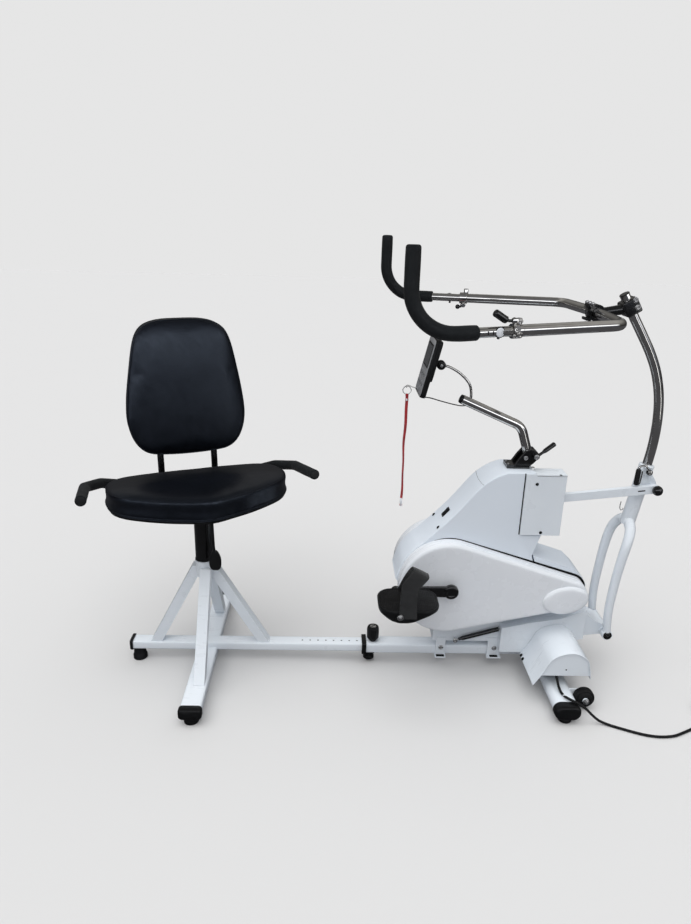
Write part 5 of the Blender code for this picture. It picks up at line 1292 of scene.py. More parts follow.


# Console cable: a thin black lead from the console's foot into the end of the post.
# It crosses the tilt joint, and the lead itself is attached to neither body.
def console_lead():
    route = smooth([(0.148, 0, 0.8345), (0.153, 0, 0.8265), (0.162, 0, 0.8225), (0.176, 0, 0.8205),
        (0.205, 0, 0.8125), (0.24, 0, 0.804), (0.262, 0, 0.801), (0.2755, 0, 0.804)], 4)
    lead = piece("console_lead", tube(route, 0.0015, 12), None, BLACK_RUBBER, stands_for=["console_cable"])
    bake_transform(lead)
    relief = turned([(0.003, 0), (0.0026, 0.004), (0.0018, 0.009)], (0.1466, 0, 0.8365), (0.45, 0, -0.9), 20)
    piece("console_lead_relief", relief, "console", BLACK_RUBBER)


console_lead()


# Safety lanyard: a red woven tape on a split steel ring, tied at the top, with a white clip below.
# The ring hangs in a wire hook on the console's foot.
RED_WEBBING = woven("red_webbing_look", (0.45, 0.015, 0.02), (0.3, 0.01, 0.015), 0.0016)


def lanyard():
    pivot = xyz(0.1115, 0, 0.851)
    middle = pivot - Z_AXIS * 0.0102
    rings = []
    for shift, radius in ((-0.0008, 0.0108), (0.0008, 0.0112)):
        loop = [middle + X_AXIS * radius * cos(t) + Z_AXIS * radius * 0.98 * sin(t) + Y_AXIS
            * (shift + 0.0006 * sin(t)) for t in [2 * pi * k / 48 for k in range(48)]]
        rings.append(ring_tube(loop, 0.0008, 10))
    piece("lanyard_ring", merged(*rings), "lanyard", STEEL, stands_for=["safety_lanyard"])
    rings = []
    for k in range(61):
        z = 0.83 - 0.298 * k / 60
        sway = 0.0011 * sin((z - 0.53) * 31) + 0.0006 * sin((z - 0.53) * 67)
        twist = -0.75 + 0.3 * sin((z - 0.53) * 17)
        along = Y_AXIS * cos(twist) + X_AXIS * sin(twist)
        across = X_AXIS * cos(twist) - Y_AXIS * sin(twist)
        centre = xyz(pivot.x + sway, 0, z)
        rings.append([centre + along * a * 0.0042 + across * b * 0.0009 for a, b in ((-1, -0.5), (-0.85, -1),
            (0.85, -1), (1, -0.5), (1, 0.5), (0.85, 1), (-0.85, 1), (-1, 0.5))])
    piece("lanyard_webbing", loft(rings), "lanyard", RED_WEBBING, sharp=60)
    knots = []
    for z, wide, high in ((0.8275, 0.0036, 0.0045), (0.5125, 0.0038, 0.004)):
        knots.append(turned([(wide * sin(pi * k / 8) + 0.0003, -high * cos(pi * k / 8)) for k in range(9)],
            (pivot.x, 0, z), Z_AXIS, 20))
    piece("lanyard_knots", merged(*knots), "lanyard", RED_WEBBING, sharp=60)
    bands = [loft([[xyz(pivot.x + x, y, z) for x, y in round_rect((0, 0), 0.0042, 0.0104, 0.0012, 3)]
        for z in (low, low + 0.0052)]) for low in (0.813,)]
    piece("lanyard_tie", merged(*bands), "lanyard", WHITE_GUARD)
    clip = [[xyz(pivot.x + x, y, z) for x, y in round_rect((0, 0), wide, long, 0.0012, 3)]
        for z, wide, long in ((0.5322, 0.004, 0.008), (0.531, 0.006, 0.011), (0.52, 0.006, 0.012),
        (0.515, 0.0052, 0.011), (0.5085, 0.0034, 0.007))]
    piece("lanyard_clip", loft(clip), "lanyard", WHITE_GUARD, sharp=50)
    hook = smooth([(0.1425, 0, 0.8455), (0.132, 0, 0.8475), (0.121, 0, 0.8515), (0.1135, 0, 0.8545),
        (0.1095, 0, 0.853), (0.109, 0, 0.8495), (0.111, 0, 0.8478)], 5)
    piece("console_hook", tube(hook, 0.0009, 14, end=0.0005), "console", CHROME)


lanyard()


# Power switch: a black rocker in a thin moulded frame, pressed into the sloped front panel.
# It rocks about its middle.
def rocker():
    start = xyz(0.189, 0, 0.429)
    along = (xyz(0.306, 0, 0.574) - start).normalized()
    out = xyz(-along.z, 0, along.x)
    middle = start + along * ((xyz(0.2385, 0, 0.4925) - start).dot(along))

    def at(a, b, height):
        return middle + along * a + Y_AXIS * b + out * height

    arm = [(-0.011, 0.0036), (-0.006, 0.0022), (0.0, 0.0016), (0.006, 0.0024), (0.011, 0.004), (0.011, -0.0035),
        (-0.011, -0.0035)]
    rings = [[at(a * scale, b, h) for a, h in arm] for b, scale in ((-0.0082, 0.97), (-0.0077, 1.0), (0.0077, 1.0),
        (0.0082, 0.97))]
    piece("rocker_cap", loft(rings), "switch", BLACK_PLASTIC, bevel=0.0004, stands_for=["power_switch"])
    outer = round_rect((0, 0), 0.03, 0.0226, 0.002, 4)
    inner = round_rect((0, 0), 0.0242, 0.0178, 0.0012, 4)
    rings = [[at(a, b, h) for a, b in outline] for outline, h in ((inner, 0.0002), (outer, 0.0002), (outer, 0.0012),
        (inner, 0.002))]
    piece("rocker_bezel", loft(rings, closed=True), "base", BLACK_PLASTIC, sharp=30)


rocker()


# Fork: bent white steel tubes welded to a sleeve and a gusset, on an axle low at the front.
# The sleeve takes the mast. The gusset carries the link's axle, which a black ball cap closes.
FORK = xyz(0.727, 0.0, 0.139)
SLEEVE_FOOT = xyz(0.761, 0.0, 0.476)
SLEEVE_AXIS = xyz(0.1521, 0.0, 1.0).normalized()
LINK_AXLE = xyz(0.805, 0.0, 0.586)


def fork():
    solids = [turned([(0.0002, -0.01), (0.018, -0.01), (0.0196, -0.0092), (0.02, -0.008), (0.02, 0.1694),
        (0.0194, 0.1706), (0.0186, 0.171), (0.0134, 0.171), (0.013, 0.1702), (0.013, 0.15), (0.0002, 0.15)],
        SLEEVE_FOOT, SLEEVE_AXIS, 56)]
    for side in (-1, 1):
        y = side * 0.061
        route = smooth([(0.727, y, 0.1395), (0.7215, y, 0.219), (0.727, y, 0.317), (0.735, y, 0.387),
            (0.744, y * 0.93, 0.432), (0.7545, y * 0.62, 0.463), (0.76, y * 0.05, 0.482)], 8)
        radii = [0.0112 + 0.0036 * k / (len(route) - 1) for k in range(len(route))]
        solids.append(tube(route, radii, 32))
        solids.append(turned([(0.0068, 0), (0.0142, 0), (0.015, 0.0008), (0.015, 0.0172), (0.0142, 0.018),
            (0.0068, 0.018)], (FORK.x, side * 0.052, FORK.z), Y_AXIS * side, 40, closed=True))
    gusset = corners_2d([(0.775, 0.628), (0.795, 0.63), (0.816, 0.597), (0.8165, 0.582), (0.8, 0.571), (0.77, 0.572)],
        [0, 0.006, 0.008, 0.006, 0.008, 0], 5)
    solids.append(rounded_shell(gusset, -0.012, 0.012, 0.0015, 3))
    stub = turned([(0.007, 0), (0.007, 0.0313)], LINK_AXLE - Y_AXIS * 0.01, -Y_AXIS, 28)
    for low, high in (((0.772, -0.026, 0.62), (0.7805, 0.0, 0.644)), ((0.7855, -0.026, 0.62), (0.794, 0.0, 0.644))):
        solids.append(block(low, high))
    piece("fork_weldment", merged(*solids, stub), "fork", WHITE_PAINT, bevel=0.0008, stands_for=["fork"])
    for side, name in SIDES:
        bead = []
        for k in range(28):
            turn = 2 * pi * k / 28
            reach = 0.0155 + 0.0006 * sin(5 * turn)
            bead.append(xyz(0.757 + reach * 0.85 * cos(turn), side * 0.0175, 0.4745 + reach * 0.95 * sin(turn)))
        piece(f"fork_weld_{name}", ring_tube(bead, 0.0022, 8), "fork", WHITE_PAINT)
        washer = turned([(0.0125, 0), (0.0125, 0.0012)], (FORK.x, side * 0.07, FORK.z), Y_AXIS * side, 32)
        head = screw(xyz(FORK.x, side * 0.0712, FORK.z), Y_AXIS * side, 0.0078, 0.0052, "hex")
        piece(f"fork_bolt_{name}", merged(washer, head), "fork", BLACK_METAL, bevel=0.0004)
    cap = turned([(0.0085, 0.0), (0.011, 0.0006), (0.0135, 0.005), (0.0138, 0.009), (0.0132, 0.013), (0.0115, 0.0165),
        (0.0085, 0.019), (0.0045, 0.0202), (0.0003, 0.0205)], LINK_AXLE - Y_AXIS * 0.041, -Y_AXIS, 44)
    piece("link_ball_cap", cap, "fork", BLACK_METAL, sharp=60)
    loop = tube(smooth([(0.717, -0.034, 0.547), (0.7155, -0.0345, 0.535), (0.7165, -0.0345, 0.526),
        (0.72, -0.0345, 0.5215), (0.7245, -0.0345, 0.5235), (0.7255, -0.0345, 0.5275)], 5), 0.0011, 12, start=0.0004,
        end=0.0004)
    piece("link_spring_hook", loop, "link", CHROME)


fork()


# Link bar: a flat white painted bar from the control box to the fork's axle.
# A slot and a small steel eye for a spring's wire are on its near side.
def link():
    dress(WHITE_PAINT, "link_bar")
    slope = xyz(0.297, 0, 0.0355).normalized()
    across = xyz(-slope.z, 0, slope.x)
    middle = LINK_AXLE - slope * 0.04 - Y_AXIS * 0.0411
    ends = [middle + slope * 0.01 * a + across * 0.0016 * b for a, b in ((-1, -1), (1, -1), (1, 1), (-1, 1))]
    piece("link_slot", loft([ends, [p - Y_AXIS * 0.0003 for p in ends]]), "link", SHADOW_GAP)
    near = LINK_AXLE - slope * 0.088 - Y_AXIS * 0.0345
    eye = turned([(0.0016, 0), (0.003, 0), (0.003, 0.0012), (0.0016, 0.0012)], near - across * 0.0118, -across, 16,
        closed=True)
    piece("link_wire_eye", eye, "link", STEEL)


link()


# Mast lever: a chrome clamp screw with a ribbed black handle on the sleeve's side.
# It locks the mast at its height.
def sleeve_lever():
    pivot = xyz(0.783, -0.028, 0.632)
    barrel = turned([(0.007, 0), (0.0078, 0.0006), (0.0078, 0.008), (0.007, 0.009)], (pivot.x, -0.0263, pivot.z),
        -Y_AXIS, 32)
    y = -0.0325
    grip = [turned([(0.0048, 0.0), (0.0062, 0.001), (0.0068, 0.004), (0.0068, 0.043), (0.006, 0.0455),
        (0.004, 0.0465)], (0.7515, y, 0.642), (-0.026, 0, -1), 32)]
    piece("sleeve_lever_grip", merged(barrel, *grip), "mast_lever", BLACK_RUBBER, stands_for=["mast_lever"])
    rib = turned([(0.0066, 0), (0.0073, 0.0004), (0.0073, 0.0012), (0.0066, 0.0016)], (0.75138, y, 0.6375),
        (-0.026, 0, -1), 28)
    row_of("sleeve_lever_ribs", rib, "mast_lever", BLACK_RUBBER, 9, xyz(-0.00012, 0, -0.0046))
    hook = tube(rounded([(pivot.x, y, pivot.z), (0.77, y, 0.652), (0.752, y, 0.65), (0.751, y, 0.632)], 0.008, 7),
        0.0029, 20)
    bolt = screw(xyz(pivot.x, -0.0352, pivot.z), -Y_AXIS, 0.005, 0.0022, "socket")
    rod_down = tube([(0.7645, -0.0285, 0.635), (0.7628, -0.0285, 0.6), (0.7606, -0.0285, 0.593)], 0.0019, 14,
        end=0.0006)
    piece("sleeve_lever_steel", merged(hook, bolt, rod_down), "mast_lever", CHROME)


sleeve_lever()


# Mast: one long curved chrome tube that slides in the fork's sleeve.
# A black plug closes its top.
MAST_R = 0.0125
MAST_TOP = xyz(0.651, 0.0, 1.101)
MAST_HEAD = xyz(0.687, 0.0, 1.041)


def mast_tube():
    low = [SLEEVE_FOOT + SLEEVE_AXIS * reach for reach in (0.0546, 0.1, 0.15, 0.186)]
    curve = [(0.7925, 0, 0.694), (0.7942, 0, 0.732), (0.7936, 0, 0.772), (0.789, 0, 0.8185), (0.7795, 0, 0.864),
        (0.764, 0, 0.91), (0.7422, 0, 0.954), (0.715, 0, 0.998), MAST_HEAD]
    path = low[:2] + smooth(low[2:] + curve, 6) + [MAST_TOP]
    piece("mast_tube", tube(path, MAST_R, 48, start=0.001, end=0.0008), "mast", CHROME, stands_for=["mast"])
    lean = (MAST_TOP - MAST_HEAD).normalized()
    ring = turned([(0.0104, 0), (0.0123, 0), (0.0131, 0.0006), (0.0131, 0.002), (0.012, 0.003), (0.01, 0.0034),
        (0.0003, 0.003)], MAST_TOP - lean * 0.0012, lean, 40)
    piece("mast_end_plug", ring, "mast", BLACK_METAL)


mast_tube()


# Stem: a black clamp on the mast's head, with an arm to the split ring that holds the handlebar.
# Steel socket bolts pull both clamps tight.
def stem():
    lean = (MAST_TOP - MAST_HEAD).normalized()
    across = xyz(lean.z, 0, -lean.x)
    middle = MAST_HEAD + lean * 0.0345
    corners = [middle + lean * a * 0.02 + across * b * 0.0205 for a, b in ((-1, -1), (1, -1), (1, 1), (-1, 1))]
    outline = corners_2d([(p.x, p.z) for p in corners], [0.006, 0.006, 0.004, 0.004], 6)
    clamp = rounded_shell(outline, -0.021, 0.021, 0.003, 4)
    arm = tube([(0.592, 0, 1.0535), (0.6, 0, 1.055), (0.64, 0, 1.0612), (0.664, 0, 1.066)],
        [0.0108, 0.0112, 0.0128, 0.0148], 40)
    ring = turned([(0.0139, 0.0), (0.0205, 0.0), (0.0215, 0.001), (0.0215, 0.031), (0.0205, 0.032), (0.0139, 0.032)],
        (0.583, -0.016, 1.054), Y_AXIS, 56, closed=True)
    ears = [rounded_shell(corners_2d([(0.556, 1.064), (0.572, 1.064), (0.576, 1.076), (0.56, 1.079)], [0.003] * 4, 4),
        -0.0158, 0.0158, 0.001, 2), rounded_shell(corners_2d([(0.5545, 1.043), (0.571, 1.04), (0.569, 1.033),
        (0.556, 1.035)], [0.002] * 4, 4), -0.0158, 0.0158, 0.001, 2)]
    piece("stem_forging", merged(clamp, arm, ring, *ears), "mast", BLACK_METAL, sharp=45, stands_for=["stem"])
    spots = [(0.6733, 1.0896), (0.6814, 1.0716)]
    heads = [screw(xyz(x, side * 0.0208, z), Y_AXIS * side, 0.0056, 0.005, "socket") for x, z in spots
        for side in (-1, 1)]
    heads += [screw(xyz(x, y, z), xyz(-0.25, 0, 1), 0.0042, 0.005, "socket")
        for x, z in ((0.562, 1.0775), (0.5705, 1.0755)) for y in (-0.0095, 0.0095)]
    piece("stem_bolts", merged(*heads), "mast", STEEL)
    slit = [middle + across * (0.0206 + 0.0001 * k) + lean * 0.0195 * a + Y_AXIS * 0.0009 * b for k in (0, 1)
        for a, b in ((-1, -1), (1, -1), (1, 1), (-1, 1))]
    piece("stem_slit", loft([slit[:4], slit[4:]]), "mast", SHADOW_GAP)


stem()


# Handlebar: one bent chrome tube, with a chrome clamp collar on each of its two ends.
# The collars and their screws grip the sliding tubes.
BAR = xyz(0.583, 0.0, 1.054)
BAR_END = xyz(0.29, 0.3183, 1.0496)


def arm_frame(side):
    mouth = xyz(BAR_END.x, side * BAR_END.y, BAR_END.z)
    corner = xyz(BAR.x, side * 0.2165, BAR.z)
    return mouth, (mouth - corner).normalized()


def handlebar():
    near, near_run = arm_frame(-1)
    far, far_run = arm_frame(1)
    corners = [mouth - run * (0.28 / -run.x) for mouth, run in ((near, near_run), (far, far_run))]
    path = rounded([near + near_run * -0.001, corners[0], (BAR.x, -0.06, BAR.z), (BAR.x, 0.06, BAR.z), corners[1],
        far + far_run * -0.001], [0.05, 0.15, 0.15, 0.05], 20)
    piece("bar_tube", tube(path, 0.013, 44), "bar", CHROME, stands_for=["handlebar_frame"])
    for (mouth, run), name in (((near, near_run), "near"), ((far, far_run), "far")):
        side = -1 if name == "near" else 1
        collar = turned([(0.0131, 0.0), (0.0155, 0.0002), (0.0162, 0.001), (0.0162, 0.021), (0.0152, 0.022),
            (0.0123, 0.022), (0.0123, 0.015)], mouth - run * 0.022, run, 44)
        solids = [collar]
        spot = mouth - run * 0.017
        solids.append(turned([(0.0065, 0.01), (0.0065, 0.0255), (0.0056, 0.027), (0.003, 0.0272)], spot, Z_AXIS, 28))
        cheek = mouth - run * 0.011 + xyz(0, side * 0.015, 0)
        solids.append(screw(cheek + Z_AXIS * 0.006, xyz(0, side, 0.35), 0.0056, 0.0064, "hex"))
        solids.append(screw(mouth - run * 0.0175 + xyz(0, side * 0.015, -0.006), xyz(0, side, -0.2), 0.0052, 0.0056,
            "socket"))
        solids.append(screw(mouth - run * 0.0045 + xyz(0, side * 0.012, -0.0085), xyz(0, side, -0.6), 0.004, 0.004,
            "socket"))
        piece(f"bar_clamp_{name}", merged(*solids), "bar", CHROME, sharp=34)


handlebar()


# Sliding grips: a thinner chrome tube in each arm, with a long black foam sleeve that turns up at its end.
# A pop pin with a pale head sits on a tongue beside each collar.
BLACK_FOAM = finish("black_foam_look", (0.0035, 0.0048, 0.006), (0.0065, 0.0082, 0.0098), (0.58, 0.76),
    (1600.0, 0.00022), wave=(90.0, 0.0004), edge=0.0006, patches=22.0, sheen=0.05, specular=0.3)


def grip_path(side):
    mouth, run = arm_frame(side)
    turn = mouth + run * 0.125
    y = turn.y
    return rounded([mouth - run * 0.09, turn, (0.069, y, 1.0465), (0.069, y * 0.985, 1.2216)], [0.05, 0.091], 18)


def foam_sleeve(name, route, radius, body, node_name, end, start=0.003):
    """A foam sleeve, a little uneven, with rolled ends."""
    route = spaced(route, 0.006)
    radii = []
    reach = 0.0
    for k, point in enumerate(route):
        if k:
            reach += (point - route[k - 1]).length
        radii.append(radius - 0.0003 + 0.0003 * sin(reach * 61) * sin(reach * 23 + 1.3))
    return piece(name, tube(route, radii, 36, start=start, end=end, steps=6), body, BLACK_FOAM, sharp=60,
        stands_for=[node_name])


def grips():
    for side, name in SIDES:
        path = grip_path(side)
        mouth, run = arm_frame(side)
        foam_start = mouth + run * 0.083
        covered = [foam_start] + [p for p in path if (p - foam_start).dot(run) > 0.002]
        visible = [path[0]] + [p for p in path[1:] if (p - foam_start).dot(run) < 0.0] + [foam_start + run * 0.01]
        piece(f"grip_rod_{name}", tube(visible, 0.011, 36), f"grip_{name}", CHROME, stands_for=[f"grip_tube_{name}"])
        foam_sleeve(f"grip_sleeve_{name}", covered, 0.0164, f"grip_{name}", f"grip_foam_{name}", 0.006)
        pin = xyz(0.2631, side * 0.325, 1.0482)
        spot = mouth + run * ((pin - mouth).dot(run))
        out = xyz(-run.y * side, run.x * side, 0).normalized() * -1
        if out.y * side < 0:
            out = -out
        spot = spot + X_AXIS * -0.006
        ring = turned([(0.006, 0.0085), (0.0112, 0.0088), (0.012, 0.0104), (0.0116, 0.012), (0.01, 0.0124)], spot,
            out, 36)
        piece(f"grip_pin_rim_{name}", ring, "bar", BLACK_PLASTIC)
        tongue = [[mouth + run * reach + out * height + Z_AXIS * wide for height, wide in ((0.0113, -0.0036),
            (0.0125, -0.0034), (0.0125, 0.0034), (0.0113, 0.0036))] for reach in (-0.003, 0.03)]
        piece(f"grip_pin_tongue_{name}", loft(tongue), "bar", CHROME)
        button = turned([(0.01, 0.0095), (0.01, 0.0126), (0.0092, 0.0138), (0.005, 0.0146), (0.0003, 0.0148)], spot,
            out, 36)
        piece(f"grip_pin_button_{name}", button, "bar", WHITE_GUARD)
        marks = []
        for reach in (0.05, 0.062):
            centre = mouth + run * reach + out * 0.01085
            marks.append(block(centre - xyz(0.0011, 0.0004, 0.0034), centre + xyz(0.0011, 0.0004, 0.0034)))
        piece(f"grip_marks_{name}", merged(*marks), f"grip_{name}", SHADOW_GAP)
        lower = turned([(0.003, 0.01), (0.003, 0.015), (0.0022, 0.016)], spot + run * -0.004, -Z_AXIS, 20)
        piece(f"grip_lower_pin_{name}", lower, "bar", BLACK_METAL)


grips()


# Clamp levers: a black handle on a chrome hub at each collar. The near one stands above its arm,
# and the far one hangs below and ends in a ball.
def clamp_levers():
    near = xyz(0.2965, -0.316, 1.0708)
    handle = [near, near + xyz(-0.012, -0.003, 0.0005), near + xyz(-0.018, -0.004, 0.0015),
        near + xyz(-0.024, -0.005, 0.004), near + xyz(-0.0475, -0.009, 0.0185)]
    piece("clamp_handle_near", merged(tube(spaced(handle, 0.004), 0.0034, 20),
        tube(spaced(handle[2:], 0.004), 0.0082, 28, start=0.0034, end=0.004)), "clamp_near", BLACK_METAL,
        stands_for=["clamp_lever_near"])
    hub = turned([(0.0052, -0.009), (0.0066, -0.008), (0.0066, 0.008), (0.0052, 0.009)], near, Y_AXIS, 28)
    piece("clamp_hub_near", hub, "clamp_near", CHROME)
    wing = tube([near + xyz(0.0, -0.004, 0.0), near + xyz(0.011, -0.004, 0.0012), near + xyz(0.016, -0.004, -0.001)],
        [0.0034, 0.003, 0.0024], 18, end=0.001)
    piece("clamp_wing_near", wing, "bar", CHROME)
    far = xyz(0.3, 0.315, 1.0292)
    handle = tube([far, far + xyz(-0.006, 0.001, -0.0045), far + xyz(-0.0095, 0.0018, -0.0052)], 0.0034, 20)
    ball = turned([(0.0066 * sin(pi * k / 14) + 0.0002, -0.0068 * cos(pi * k / 14)) for k in range(15)],
        far + xyz(-0.015, 0.003, -0.0056), xyz(-1, 0.17, -0.08), 28)
    piece("clamp_handle_far", merged(handle, ball), "clamp_far", BLACK_METAL, stands_for=["clamp_lever_far"])
    hub = turned([(0.0052, -0.009), (0.0064, -0.008), (0.0064, 0.008), (0.0052, 0.009)], far, Y_AXIS, 28)
    piece("clamp_hub_far", hub, "clamp_far", CHROME)


clamp_levers()


# Seat post: a gas spring in a black steel shroud, stood in the carriage's tower.
# Its chrome rod carries the seat's hub plate.
SEAT_PLATE_Z = 0.5


def seat_post():
    axis = (SEAT_X, 0, 0)
    cylinder = turned([(0.0105, 0.2251), (0.0128, 0.2254), (0.0139, 0.2275), (0.0139, 0.3352), (0.0244, 0.3353),
        (0.025, 0.336), (0.025, 0.47), (0.0246, 0.4735), (0.0235, 0.475), (0.0162, 0.475), (0.0158, 0.4735),
        (0.0145, 0.4735), (0.0143, 0.36), (0.01, 0.359)], axis, Z_AXIS, 64, closed=True)
    piece("gas_spring_shroud", cylinder, "carriage", BLACK_METAL, stands_for=["gas_cylinder"])
    ring = turned([(0.025, 0.336), (0.0262, 0.3364), (0.0262, 0.3396), (0.025, 0.34)], axis, Z_AXIS, 56)
    piece("gas_spring_ring", ring, "carriage", BLACK_RUBBER)
    rod = turned([(0.012, 0.362), (0.014, 0.364), (0.014, SEAT_PLATE_Z - GAP)], axis, Z_AXIS, 48)
    piece("gas_spring_rod", rod, "seat_lift", CHROME, stands_for=["piston_rod"])


seat_post()


# Seat frame: black painted steel tube, bent into a handle at each side of the seat, with two back
# posts and a plate under the cushion. Bolts hold the cushions' boards.
SEAT_TURN = radians(20.5)
CUSHION_Z = 0.5065
BACK_LEAN = 0.12
FORWARD = xyz(sin(SEAT_TURN), -cos(SEAT_TURN), 0)
RIGHT = xyz(cos(SEAT_TURN), sin(SEAT_TURN), 0)


def seat_point(s, f, z):
    return xyz(SEAT_X, 0, z) + RIGHT * s + FORWARD * f


def handle_path(steps=3):
    half = [(0.15, -0.215, 0.503), (0.212, -0.201, 0.514), (0.256, -0.163, 0.537), (0.301, -0.098, 0.553),
        (0.313, 0.052, 0.575)]
    corners = [seat_point(-s, f, z) for s, f, z in reversed(half)] + [seat_point(*p) for p in half]
    return rounded(corners, 0.055, steps)


def seat_frame():
    outline = round_rect((0, -0.085), 0.11, 0.25, 0.015)
    plate = loft([[seat_point(s, f, z) for s, f in inset(outline, shrink)]
        for z, shrink in ((SEAT_PLATE_Z, 0.0012), (SEAT_PLATE_Z + 0.001, 0.0), (CUSHION_Z - 0.0008, 0.0),
        (CUSHION_Z - GAP, 0.0006))])
    parts = [plate, tube(handle_path(12), 0.011, 32)]
    for s in (-0.08, 0.08):
        route = rounded([seat_point(s, -0.215, 0.503), seat_point(s, -0.2175, 0.555), seat_point(s, -0.2235, 0.61),
            seat_point(s, -0.2475, 0.8)], 0.03, 8)
        parts.append(tube(route, 0.0095, 28, end=0.004))
    strap = []
    for z in (0.7, 0.7022, 0.7428, 0.745):
        back = -0.219 - (z - 0.593) * BACK_LEAN
        wide = 0.0885 if z in (0.7, 0.745) else 0.09
        strap.append([seat_point(s, back + t, z) for s, t in ((-wide, 0), (wide, 0), (wide, 0.004), (-wide, 0.004))])
    piece("seat_frame_weldment", merged(*parts, loft(strap)), "seat", BLACK_METAL, sharp=45,
        stands_for=["seat_frame"])
    heads = [screw(seat_point(s, f, SEAT_PLATE_Z) - Z_AXIS * 0.0001, -Z_AXIS, 0.0055, 0.004, "hex")
        for s in (-0.042, 0.042) for f in (-0.19, 0.02)]
    out = -(FORWARD + Z_AXIS * BACK_LEAN).normalized()
    heads += [screw(seat_point(s, -0.219 - (0.7225 - 0.593) * BACK_LEAN, 0.7225), out, 0.0048, 0.0032, "socket")
        for s in (-0.045, 0.0, 0.045)]
    piece("seat_bolts", merged(*heads), "seat", STEEL)
    hub = turned([(0.0195, 0), (0.0195, 0.002), (0.03, 0.0072), (0.03, 0.0088)], (SEAT_X, 0, SEAT_PLATE_Z - 0.0092),
        Z_AXIS, 44)
    piece("seat_hub", hub, "seat", BLACK_METAL)


seat_frame()


# Grips of the seat's handles: black foam pulled over the two ends of the frame tube.
# A thin moulded plug closes each end.
def seat_grips():
    path = handle_path()
    for ends, name in ((path, "left"), (list(reversed(path)), "right")):
        tip = ends[0] + (ends[0] - ends[1]).normalized() * 0.004
        covered = []
        run = 0.0
        for before, after in zip(ends, ends[1:]):
            covered.append(before)
            run += (after - before).length
            if run > 0.3:
                break
        route = smooth([tip] + covered[1:], 5)
        route.reverse()
        foam_sleeve(f"seat_handle_foam_{name}", route, 0.0148, "seat", f"seat_grip_{name}", 0.003)
        along = (route[-1] - route[-2]).normalized()
        disc = turned([(0.009, 0), (0.0106, 0.0003), (0.0112, 0.0008), (0.0108, 0.0014), (0.006, 0.0017),
            (0.0002, 0.0017)], route[-1] - along * 0.0014, along, 36)
        piece(f"seat_handle_plug_{name}", disc, "seat", BLACK_PLASTIC)


seat_grips()


# Seat cushion: black vinyl over moulded foam on a board, wider than deep, with a crowned top.
# Two pipings run round its side, and a seam follows its rim.
BLACK_VINYL = finish("black_vinyl_look", (0.002, 0.0024, 0.0038), (0.0032, 0.0037, 0.0058), (0.3, 0.4),
    (1300.0, 0.00005), wave=(26.0, 0.0003), edge=0.0006, patches=9.0)
BLACK_VINYL.node_tree.nodes["Principled BSDF"].inputs["Specular Tint"].default_value = (0.68, 0.8, 1.0, 1)
SEAT_ORIGIN = xyz(SEAT_X, 0, 0)


def closed_outline(half, steps):
    """A smooth outline, given its right half from front to back."""
    whole = half + [(-a, b) for a, b in reversed(half[1:-1])]
    loop = [xyz(a, b, 0) for a, b in whole]
    around = loop[-2:] + loop + loop[:2]
    path = smooth(around, steps)[2 * steps:(len(loop) + 2) * steps]
    return [(p.x, p.y) for p in path]


def drawn_in(outline, drawn):
    return [(a * (1 - drawn / 0.2), b * (1 - drawn / 0.2)) for a, b in outline]


PAD_CAP = 0.004
PAD_VOXEL = 0.005
PAD_PRESSURE = 0.7


def inflate(name, solid, cap, voxel, swell):
    """Vinyl over foam: the shape is remeshed, swollen by cloth under pressure, and held within a cap."""
    points, faces = solid
    mesh = bpy.data.meshes.new(name)
    mesh.from_pydata([point + SHIFT for point in points], [], faces)
    work = bmesh.new()
    work.from_mesh(mesh)
    bmesh.ops.recalc_face_normals(work, faces=work.faces)
    work.to_mesh(mesh)
    work.free()
    made = bpy.data.objects.new(name, mesh)
    bpy.context.collection.objects.link(made)
    remesh = made.modifiers.new("remesh", "REMESH")
    remesh.mode = "VOXEL"
    remesh.voxel_size = voxel
    applied(made)
    start = [v.co.copy() for v in made.data.vertices]
    cloth = made.modifiers.new("cloth", "CLOTH")
    cloth.settings.use_pressure = True
    cloth.settings.uniform_pressure_force = swell
    cloth.settings.effector_weights.gravity = 0.0
    cloth.settings.tension_stiffness = 40
    cloth.settings.compression_stiffness = 40
    cloth.settings.shear_stiffness = 20
    cloth.settings.bending_stiffness = 3.0
    cloth.settings.quality = 6
    for number in range(1, 21):
        bpy.context.scene.frame_set(number)
    applied(made)
    bpy.context.scene.frame_set(1)
    for vertex, before in zip(made.data.vertices, start):
        moved = vertex.co - before
        if moved.length > cap:
            vertex.co = before + moved * (cap / moved.length)
    return made


def applied(made):
    """The object's modifiers, put into its mesh."""
    shown = made.evaluated_get(bpy.context.evaluated_depsgraph_get())
    mesh = bpy.data.meshes.new_from_object(shown)
    made.modifiers.clear()
    made.data = mesh


def upholster(made, body, stands_for, spans, flat_below=None, rounds=14):
    """The cushion's cover: smoothed, drawn to its spans, flat where it rests, one subdivision and its vinyl."""
    relax = made.modifiers.new("relax", "SMOOTH")
    relax.factor = 0.5
    relax.iterations = rounds
    applied(made)
    for axis, low, high in spans:
        reach = [(vertex.co - SHIFT - SEAT_ORIGIN).dot(axis) for vertex in made.data.vertices]
        first, last = min(reach), max(reach)
        for vertex, at in zip(made.data.vertices, reach):
            vertex.co += axis * (low + (at - first) * (high - low) / (last - first) - at)
    if flat_below is not None:
        for vertex in made.data.vertices:
            vertex.co.z = max(vertex.co.z, flat_below)
    finer = made.modifiers.new("finer", "SUBSURF")
    finer.levels = finer.render_levels = 1
    applied(made)
    made.data.materials.clear()
    made.data.materials.append(BLACK_VINYL)
    made.data.shade_smooth()
    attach(made, body)
    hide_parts(stands_for)


